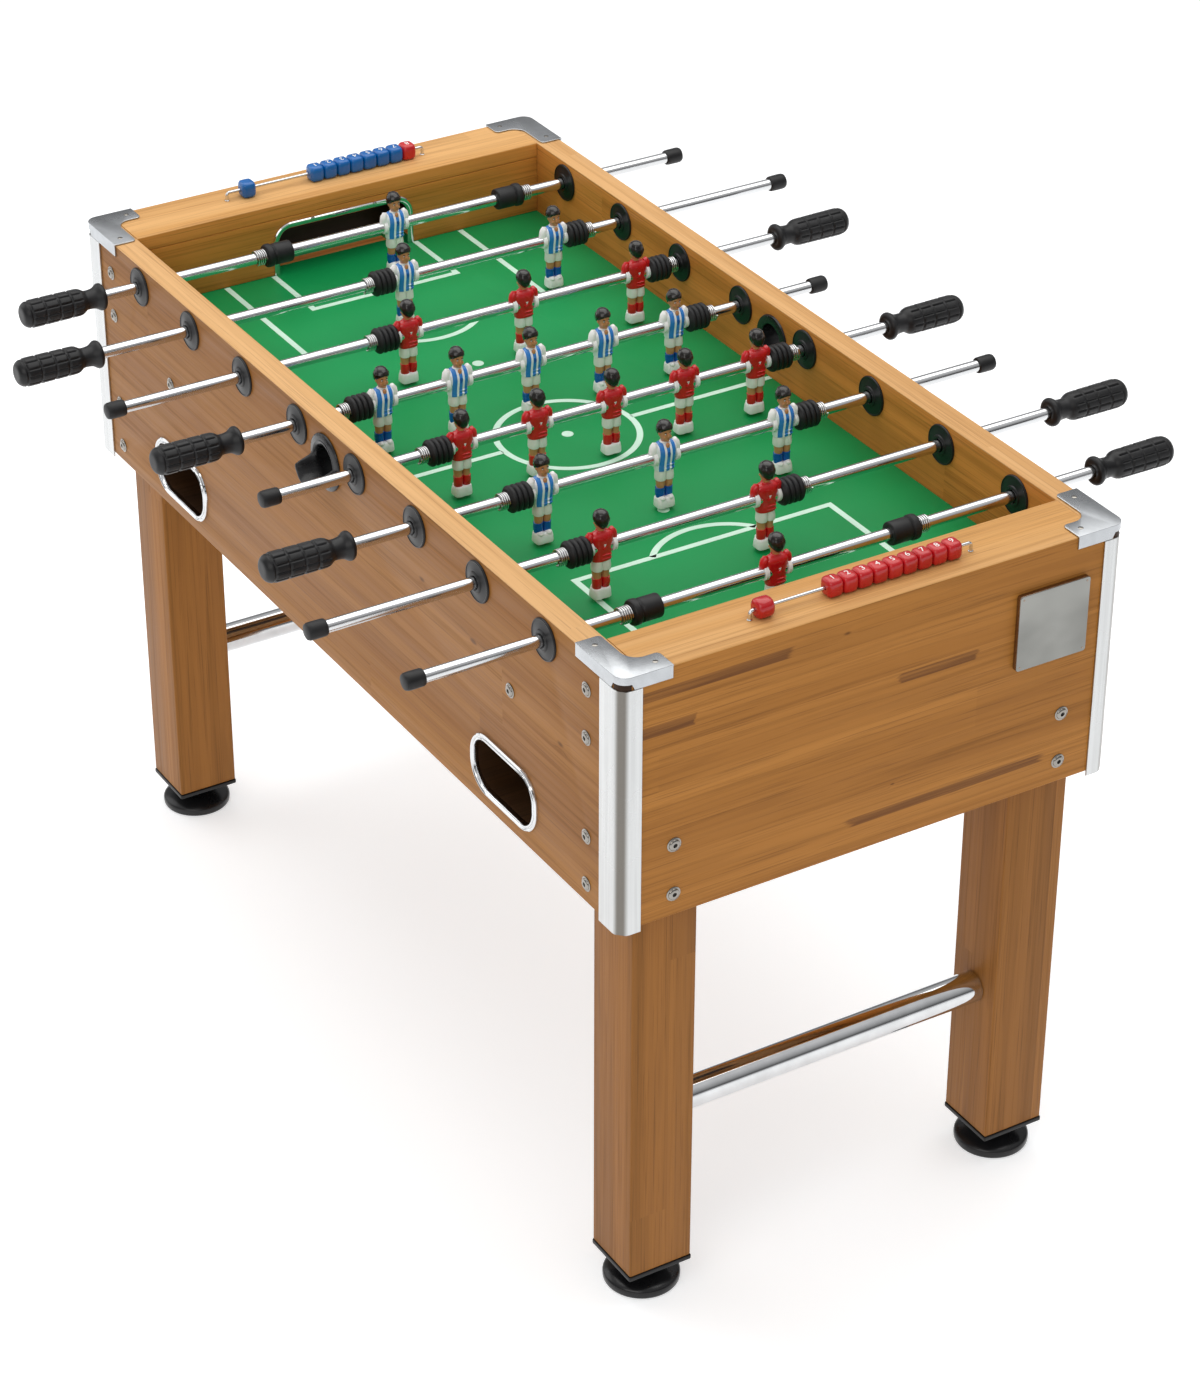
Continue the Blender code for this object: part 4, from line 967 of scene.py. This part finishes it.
SKIN, HAIR, WHITE, SHORTS, SOCK, SHIRT, SLEEVE, BLACK, LIP = range(9)
# height, forward, half depth, half width
HEAD = ((0.0222, 0.0022, 0.003, 0.0026), (0.0232, 0.0022, 0.0052, 0.0044), (0.0252, 0.0016, 0.007, 0.0059),
        (0.028, 0.001, 0.008, 0.0069), (0.0315, 0.0004, 0.0087, 0.0075), (0.035, 0.0, 0.0091, 0.0079),
        (0.0385, -0.0002, 0.0093, 0.0081), (0.042, -0.0004, 0.009, 0.0078), (0.045, -0.0005, 0.0079, 0.0068),
        (0.0472, -0.0006, 0.0058, 0.005), (0.0484, -0.0006, 0.003, 0.0026))


def head_at(z):
    zs = [r[0] for r in HEAD]
    return [float(np.interp(z, zs, [r[i] for r in HEAD])) for i in (1, 2, 3)]


def blob(bm, centre, radii, mat, n=12, m=8):
    """Ellipsoid with flattened poles."""
    (x, y, z), (rx, ry, rz) = centre, radii
    rows = [[(x + rx * c, y + ry * s, z - rz * math.cos(t)) for c, s, _ in ring(math.sin(t), 0, n)]
            for t in np.linspace(0.12, math.pi - 0.12, m)]
    grid(bm, rows, mat)


def limb(bm, stations, mat, n=18):
    """Tube through (x, y, z, radius, flatten) stations."""
    rings = []
    for i, (x, y, z, r, f) in enumerate(stations):
        a = Vector(stations[max(0, i - 1)][:3])
        b = Vector(stations[min(len(stations) - 1, i + 1)][:3])
        d = (b - a).normalized()
        u = d.cross(Vector((0, 1, 0))).normalized()
        v = d.cross(u).normalized()
        rings.append([Vector((x, y, z)) + u * c + v * (f * s) for c, s, _ in ring(r, 0, n)])
    grid(bm, rings, mat)


def player(team):
    bm = bmesh.new()
    # foot block with a rounded toe, and the soles' edge
    stack(bm, [(-0.0715, 0.0012, 0, 0.0082, 0.0112, 5), (-0.0712, 0.0012, 0, 0.0092, 0.0122, 5),
               (-0.07, 0.0012, 0, 0.0096, 0.0126, 5), (-0.064, 0.001, 0, 0.0093, 0.0124, 4.5),
               (-0.06, 0.0008, 0, 0.0088, 0.0121, 4), (-0.058, 0.0004, 0, 0.008, 0.0116, 3.6),
               (-0.0571, 0.0002, 0, 0.0068, 0.0106, 3.2)], WHITE, n=40, pinch=0.05)
    for s in (-1, 1):
        cy = s * 0.0058
        # boot upper and toe cap, sock, knee
        blob(bm, (0.004, cy, -0.0585), (0.0066, 0.0052, 0.0042), WHITE, 16, 9)
        rows = [(-0.059, 0.0002, cy, 0.006, 0.0054, 2.2), (-0.056, 0.0, cy, 0.0062, 0.0056, 2.2),
                (-0.0525, -0.0004, cy, 0.0068, 0.0059, 2.2), (-0.049, -0.0006, cy, 0.007, 0.006, 2.2),
                (-0.0458, -0.0002, cy, 0.0066, 0.0058, 2.2), (-0.0448, 0.0, cy, 0.0068, 0.006, 2.2),
                (-0.0438, 0.0, cy, 0.0068, 0.006, 2.2), (-0.0434, 0.0, cy, 0.006, 0.0053, 2.2)]
        stack(bm, rows, SOCK, n=26)
        rows = [(-0.044, 0.0, cy, 0.0056, 0.005, 2.1), (-0.0415, 0.0003, cy, 0.006, 0.0053, 2.1),
                (-0.039, 0.0008, cy, 0.0064, 0.0054, 2.1), (-0.036, 0.0004, cy, 0.0064, 0.0056, 2.1),
                (-0.031, 0.0, cy, 0.007, 0.006, 2.1)]
        stack(bm, rows, SKIN, n=26)
        # shorts leg
        rows = [(-0.0318, 0.0, cy, 0.0066, 0.0058, 2.4), (-0.0324, 0.0, cy, 0.0079, 0.0067, 2.4),
                (-0.031, 0.0, cy, 0.0083, 0.0069, 2.4), (-0.026, 0.0, cy, 0.0084, 0.0068, 2.4),
                (-0.02, 0.0, cy * 0.9, 0.0082, 0.0068, 2.4), (-0.015, 0.0, cy * 0.8, 0.0078, 0.0066, 2.4)]
        stack(bm, rows, SHORTS, n=28)
        # sleeve, tucked against the body
        st = [(0.0, s * 0.0118, 0.0182, 0.003, 1), (0.0, s * 0.0138, 0.0179, 0.0052, 1),
              (0.0002, s * 0.016, 0.015, 0.006, 0.95), (0.0004, s * 0.0172, 0.01, 0.006, 0.9),
              (0.0006, s * 0.0175, 0.005, 0.0056, 0.86), (0.0008, s * 0.0172, 0.0004, 0.0053, 0.84),
              (0.0008, s * 0.0165, -0.0032, 0.0052, 0.84), (0.0008, s * 0.0162, -0.0042, 0.0048, 0.84),
              (0.0008, s * 0.0158, -0.0046, 0.0036, 0.84)]
        limb(bm, st, SLEEVE if team == "blue" else SHIRT)
    # shirt: hem, waist, chest, shoulders
    rows = [(-0.0176, 0.0, 0, 0.008, 0.0122, 2.5), (-0.0182, 0.0, 0, 0.009, 0.0134, 2.6),
            (-0.0172, 0.0, 0, 0.0093, 0.0137, 2.6), (-0.013, 0.0, 0, 0.0092, 0.0135, 2.6),
            (-0.007, 0.0004, 0, 0.0094, 0.0137, 2.6), (0.0, 0.0008, 0, 0.0102, 0.0144, 2.6),
            (0.006, 0.001, 0, 0.0107, 0.0153, 2.6), (0.011, 0.0006, 0, 0.0104, 0.0162, 2.5),
            (0.015, 0.0, 0, 0.0094, 0.0165, 2.4), (0.0178, -0.0002, 0, 0.008, 0.015, 2.3),
            (0.0198, -0.0003, 0, 0.0064, 0.0112, 2.2), (0.0212, -0.0002, 0, 0.0052, 0.0066, 2.0),
            (0.0216, -0.0002, 0, 0.004, 0.0046, 2.0)]
    stack(bm, rows, SHIRT, n=44)
    # folds in the cloth across the waist
    for z, w in ((-0.0095, 0.0118), (-0.0145, 0.012)):
        for f in (-1, 1):
            blob(bm, (f * 0.0088, 0.0035 * f, z), (0.0016, w * 0.62, 0.0011), SHIRT, 14, 7)
    # collar, neck, head
    rows = [(0.0196, 0.0002, 0, 0.0064, 0.007, 2.0), (0.0206, 0.0003, 0, 0.0067, 0.0073, 2.0),
            (0.0216, 0.0003, 0, 0.0064, 0.0068, 2.0), (0.0221, 0.0002, 0, 0.0056, 0.0058, 2.0)]
    stack(bm, rows, WHITE if team == "blue" else SHIRT, n=28)
    rows = [(0.0185, 0.0, 0, 0.0048, 0.005), (0.0225, 0.0002, 0, 0.0048, 0.0048),
            (0.0275, 0.0, 0, 0.0052, 0.0052)]
    stack(bm, rows, SKIN, n=24)
    # bare triangle under the throat
    blob(bm, (0.0078, 0, 0.0172), (0.0022, 0.003, 0.0042), SKIN, 14, 9)
    grid(bm, [oval(z, f, 0, a, b, 2.15, n=36) for z, f, a, b in HEAD], SKIN)
    # nose, ears, brows, eyes, mouth
    blob(bm, (0.0094, 0, 0.0322), (0.0021, 0.0012, 0.0022), SKIN, 12, 8)
    blob(bm, (0.0098, 0, 0.0308), (0.0016, 0.0015, 0.0011), SKIN, 12, 8)
    for s in (-1, 1):
        blob(bm, (-0.0002, s * 0.008, 0.0328), (0.0018, 0.0011, 0.0028), SKIN, 12, 8)
        blob(bm, (0.0083, s * 0.0033, 0.0342), (0.0007, 0.0014, 0.0008), WHITE, 12, 7)
        blob(bm, (0.0088, s * 0.0033, 0.0342), (0.0004, 0.0006, 0.0007), BLACK, 10, 6)
        blob(bm, (0.0085, s * 0.0034, 0.0361), (0.0008, 0.0021, 0.0005), HAIR, 12, 6)
        blob(bm, (0.0074, s * 0.004, 0.0292), (0.0012, 0.0022, 0.0022), SKIN, 12, 8)
    blob(bm, (0.0086, 0, 0.0272), (0.0008, 0.0021, 0.0005), LIP, 12, 6)
    blob(bm, (0.0078, 0, 0.0243), (0.0014, 0.0022, 0.0014), SKIN, 12, 7)
    # hair: a cap whose lower edge runs from the fringe, over the ears, down to the nape
    n, rows = 40, []
    for u in np.linspace(0, 1, 15):
        row = []
        for i in range(n):
            a = 2 * math.pi * i / n
            front = (1 + math.cos(a)) / 2
            low = 0.0256 + 0.013 * min(1.0, front ** 0.85 * 1.12)
            low += 0.0012 * math.cos(3 * a) if front > 0.6 else 0
            z = low + (0.05 - low) * u
            swell = 0.001 + 0.0011 * math.sin(math.pi * min(1.0, u * 1.4)) ** 0.7
            thick = 0.0003 + (swell if u > 0 else 0.0)
            tuft = 0.00035 * math.sin(9 * a + 7 * u) * math.sin(math.pi * u)
            f, rx, ry = head_at(min(z, 0.0484))
            if z > 0.044:
                k = max(0.0, 1 - ((z - 0.044) / 0.0062) ** 2) ** 0.5
                f, rx, ry = head_at(0.044)
                rx, ry, thick = rx * k, ry * k, thick * k
            c, s = math.cos(a), math.sin(a)
            row.append((f - 0.0004 + (rx + thick + tuft) * c, (ry + thick + tuft) * s, z))
        rows.append(row)
    grid(bm, rows, HAIR)
    # bosses round the rod on both sides
    for s in (-1, 1):
        lathe(bm, [(0.014, 0.0), (0.014, 0.0102), (0.0186, 0.0102), (0.0192, 0.0096), (0.0192, 0.0)], 28,
              Matrix.Rotation(-s * math.pi / 2, 4, "X"), SLEEVE)
    # screw head that holds the player to the rod, in the back
    lathe(bm, [(0.0086, 0.0), (0.0086, 0.003), (0.0104, 0.003), (0.0108, 0.0022), (0.0108, 0.0)], 16,
          Matrix.Translation((0, 0, -0.0006)) @ Matrix.Rotation(-math.pi / 2, 4, "Y"), SHIRT)
    # raised squad number: on the chest of one team, low on the back of the other
    cu = bpy.data.curves.new("number", "FONT")
    cu.size, cu.extrude, cu.offset, cu.align_x, cu.align_y = 0.0098, 0.0005, 0.0002, "CENTER", "CENTER"
    if team == "red":
        cu.body, cu.size = "7", 0.0068
        at, face, ink = (-0.0095, 0, 0.003), -math.pi / 2, WHITE
    else:
        cu.body, at, face, ink = "9", (0.0114, 0, 0.0055), math.pi / 2, SOCK
    upright = Matrix.Rotation(face, 4, "Z") @ Matrix.Rotation(math.pi / 2, 4, "X")
    from_curve(bm, cu, Matrix.Translation(at) @ upright, ink)
    bmesh.ops.remove_doubles(bm, verts=bm.verts, dist=1e-7)
    me = bpy.data.meshes.new(f"player_{team}")
    bm.to_mesh(me)
    bm.free()
    return me


TEAM = {}
for team in ("blue", "red"):
    me = player(team)
    shirt, sock = ("striped", "blue") if team == "blue" else ("red", "red")
    for key in ("skin", "hair", "white", "shorts", sock, shirt, "white", "socket_shade_and_pupil_black", "lip"):
        me.materials.append(M[key])
    me.shade_smooth()
    me.set_sharp_from_angle(angle=math.radians(42))
    TEAM[team] = me


# ------------------------------------------------------------ rods, bumpers, springs, grips
def ribbed_sleeve(bm, start, stop, matrix):
    """Corrugated rubber buffer: four rounded ribs between two end lips."""
    prof = [(start, 0.0084), (start, 0.0136), (start + 0.0004, 0.0146)]
    n, a, b = 4, start + 0.001, stop - 0.001
    step = (b - a) / n
    for k in range(n):
        for t in np.linspace(0, 1, 9)[:-1]:
            prof.append((a + (k + t) * step, 0.0148 + 0.0031 * math.sin(math.pi * t) ** 0.55))
    prof += [(b, 0.0148), (stop - 0.0004, 0.0144), (stop, 0.0134), (stop, 0.0084)]
    lathe(bm, prof, 48, matrix, 0, True)


def keeper_sleeve(bm, start, stop, matrix):
    """Goalkeeper's stop: smooth collar, a waist and a thicker end ring."""
    prof = [(start, 0.0084), (start, 0.0136), (start + 0.0008, 0.0149), (start + 0.002, 0.0153),
            (start + 0.0255, 0.0153), (start + 0.0266, 0.0149), (start + 0.0275, 0.0139),
            (start + 0.0287, 0.0138), (start + 0.0296, 0.0148), (start + 0.0306, 0.0163),
            (start + 0.0318, 0.0166), (stop - 0.003, 0.0165), (stop - 0.0012, 0.0159),
            (stop - 0.0003, 0.0147), (stop, 0.0132), (stop, 0.0084)]
    lathe(bm, prof, 48, matrix, 0, True)


def coil(bm, x, y0, y1, turns, r=0.0102, wire=0.0012):
    """Compression spring round a rod."""
    n = int(turns * 26)
    tube(bm, [(x + r * math.cos(2 * math.pi * turns * i / n), y0 + (y1 - y0) * i / n,
               ROD_Z + r * math.sin(2 * math.pi * turns * i / n)) for i in range(n + 1)], wire, 8)


def grip(bm, matrix):
    """Moulded grip: flared guard, slim neck, thick barrel cut by ring grooves and lengthways grooves."""
    core = smooth_profile([(0.0, 0.0144), (0.001, 0.0168), (0.003, 0.0186), (0.0055, 0.019), (0.0078, 0.0184),
                           (0.0105, 0.0166), (0.014, 0.0146), (0.019, 0.0136), (0.025, 0.0133),
                           (0.0285, 0.0139), (0.0315, 0.0158), (0.034, 0.0173), (0.037, 0.0184),
                           (0.042, 0.0189), (0.06, 0.0191), (0.085, 0.0193), (0.104, 0.0194),
                           (0.1095, 0.0191), (0.115, 0.0178), (0.119, 0.0152), (0.1212, 0.012),
                           (0.1219, 0.008), (0.122, 0.003)], 5)
    along, radius = [c[0] for c in core], [c[1] for c in core]
    cuts = (0.0516, 0.0704, 0.0912, 0.1111)
    stops = set(along) | set(np.linspace(0.033, 0.113, 33))
    for g in cuts:
        stops |= set(g + d for d in (-0.0022, -0.0015, -0.0007, 0.0, 0.0007, 0.0015, 0.0022))
    n = 132
    rows = [ring(0.0003, 0.074, n), ring(0.0084, 0.074, n), ring(0.0084, 0.0008, n), ring(0.011, 0.0, n)]
    for s in sorted(stops):
        r = float(np.interp(s, along, radius))
        row = []
        for i in range(n):
            a = 2 * math.pi * i / n
            cut = 0.0
            if 0.035 < s < 0.1115:
                u = abs((i * 11 / n) % 1 - 0.5)
                fade = min(1.0, (s - 0.035) / 0.003, (0.1115 - s) / 0.001)
                cut = max(0.0, 1 - ((0.5 - u) / 0.14) ** 2) * fade
            for g in cuts:
                cut = max(cut, max(0.0, 1 - ((s - g) / 0.002) ** 2))
            rr = r - 0.0017 * cut
            row.append((rr * math.cos(a), rr * math.sin(a), s))
        rows.append(row)
    rows.append(ring(0.0003, 0.122, n))
    grid(bm, rows, matrix=matrix)


for k, (team, count, mid, side, tip, free) in enumerate(RODS):
    x, n = rod_x(k), k + 1
    body, slider, node = f"rod_{n}", f"rod_{n}_travel", f"player_rod_{n}"
    last = SPACING[count] * (count - 1) / 2
    # tube
    lo, hi = sorted((-side * (free - 0.002), side * (tip - 0.05)))
    bm = bmesh.new()
    prof = [(lo, 0), (lo, 0.0074), (lo + 0.0006, ROD_R)]
    prof += [(v, ROD_R) for v in np.linspace(lo + 0.01, hi - 0.01, 12)]
    prof += [(hi - 0.0006, ROD_R), (hi, 0.0074), (hi, 0)]
    lathe(bm, prof, 40, to_axis("Y", (x, 0, ROD_Z)))
    piece(f"rod_tube_{n}", bm, ("rod",), body=body, nodes=(node,), slot="chrome", sharp=35)
    # rubber cap on the free end
    bm = bmesh.new()
    prof = [(-0.001, 0.0082), (-0.0008, 0.0102), (0.0004, 0.0108), (0.005, 0.0111), (0.018, 0.0112),
            (0.0215, 0.0109), (0.0238, 0.0098), (0.0248, 0.0076), (0.025, 0.0)]
    prof += [(0.0236, 0.0), (0.0236, 0.0081)]
    lathe(bm, prof, 40, to_axis("Y", (x, -side * (free - 0.025), ROD_Z), -side), 0, True)
    piece(f"rod_cap_{n}", bm, ("rubber",), body=body, nodes=(node,), slot="black_rubber", sharp=32)
    # grip
    bm = bmesh.new()
    grip(bm, to_axis("Y", (x, side * (tip - 0.122), ROD_Z), side))
    piece(f"rod_grip_{n}", bm, ("grip",), body=body, nodes=(f"handle_{n}",), slot="black_rubber", sharp=60)
    # buffers and springs: the +Y pair turns with the rod, the -Y pair only slides
    for s, owner, stands, tag in ((1, body, node, "b"), (-1, slider, f"bumper_{n}", "a")):
        at = to_axis("Y", (x, mid, ROD_Z), s)
        bm = bmesh.new()
        if count == 1:
            keeper_sleeve(bm, 0.166, 0.206, at)
            y0, y1 = 0.207, 0.2216
        else:
            ribbed_sleeve(bm, last + 0.0187, last + 0.0503, at)
            y0, y1 = last + 0.0513, last + 0.0632
        piece(f"buffer_{n}{tag}", bm, ("rubber",), body=owner, nodes=(stands,), slot="black_rubber", sharp=50)
        bm = bmesh.new()
        coil(bm, x, mid + s * y0, mid + s * y1, 4.0 if count > 1 else 4.6)
        piece(f"spring_{n}{tag}", bm, ("steel",), body=owner, nodes=(stands,), slot="chrome", sharp=60)
    # players
    turn = 0.0 if team == "blue" else math.pi
    for q in range(count):
        y = mid + (q - (count - 1) / 2) * SPACING[count]
        place(f"player_{team}_{n}_{q + 1}", TEAM[team], None, body, (node,), "chrome", at=(x, y, ROD_Z),
              turn=turn)


# ------------------------------------------------------------ floor, light and camera
floor = Mat("studio_floor", Base_Color=(0.79, 0.8, 0.81), Roughness=0.9, Emission_Color=(1.0, 1.0, 1.0),
            Emission_Strength=0.5)
me = bpy.data.meshes.new("studio_floor")
me.from_pydata([(-30, -30, -0.0005), (30, -30, -0.0005), (30, 30, -0.0005), (-30, 30, -0.0005)], [],
               [(0, 1, 2, 3)])
me.materials.append(floor.mat)
ob = bpy.data.objects.new("studio_floor", me)
bpy.context.scene.collection.objects.link(ob)


def light(name, at, aim, size, power, colour=(1, 1, 1)):
    data = bpy.data.lights.new(name, "AREA")
    data.shape, data.size, data.size_y, data.energy, data.color = "RECTANGLE", size[0], size[1], power, colour
    lamp = bpy.data.objects.new(name, data)
    lamp.location = at
    lamp.rotation_euler = (Vector(aim) - Vector(at)).to_track_quat("-Z", "Y").to_euler()
    bpy.context.scene.collection.objects.link(lamp)


light("top_light", (-0.6, 0.5, 3.6), (0, 0, 0.8), (4.4, 3.4), 80, (1.0, 0.99, 0.97))
light("key_light", (2.6, -3.4, 3.2), (0, 0, 0.6), (3.4, 2.6), 46, (1.0, 0.98, 0.95))
light("side_light", (-3.4, -2.2, 2.4), (0, 0, 0.7), (2.8, 2.8), 29)

world = bpy.data.worlds.new("studio")
bpy.context.scene.world = world
world.use_nodes = True
tree = world.node_tree
back = tree.nodes["Background"]
way = tree.nodes.new("ShaderNodeTexCoord")
split = tree.nodes.new("ShaderNodeSeparateXYZ")
tree.links.new(way.outputs["Generated"], split.inputs[0])
ramp = tree.nodes.new("ShaderNodeValToRGB")
tree.links.new(split.outputs[2], ramp.inputs[0])
stops = ((0.0, 0.9), (0.07, 0.75), (0.13, 0.08), (0.36, 0.42), (0.75, 0.85))
for k, (at, v) in enumerate(stops):
    stop = ramp.color_ramp.elements[k] if k < 2 else ramp.color_ramp.elements.new(at)
    stop.position, stop.color = at, (v, v, v * 1.01, 1)
tree.links.new(ramp.outputs[0], back.inputs[0])
back.inputs[1].default_value = 0.75

view = bpy.context.scene.view_settings
view.view_transform, view.look, view.exposure, view.gamma = "Standard", "None", 0.0, 1.0

cam = bpy.data.cameras.new("camera")
camera = bpy.data.objects.new("camera", cam)
bpy.context.scene.collection.objects.link(camera)
eye = Vector((3.8636, -2.2911, 3.2271))
base = Vector((0, 0, 0.55)) - eye
az = math.atan2(base.y, base.x) - 0.0098
el = math.asin(base.normalized().z) - 0.0186
fwd = Vector((math.cos(el) * math.cos(az), math.cos(el) * math.sin(az), math.sin(el)))
right = fwd.cross(Vector((0, 0, 1))).normalized()
up = right.cross(fwd)
roll = 0.0031
right, up = right * math.cos(roll) + up * math.sin(roll), up * math.cos(roll) - right * math.sin(roll)
camera.matrix_world = Matrix.Translation(eye) @ Matrix((right, up, -fwd)).transposed().to_4x4()
cam.sensor_fit, cam.sensor_width = "AUTO", 36.0
cam.lens = 98.46309
cam.clip_start, cam.clip_end = 0.05, 100
bpy.context.scene.camera = camera
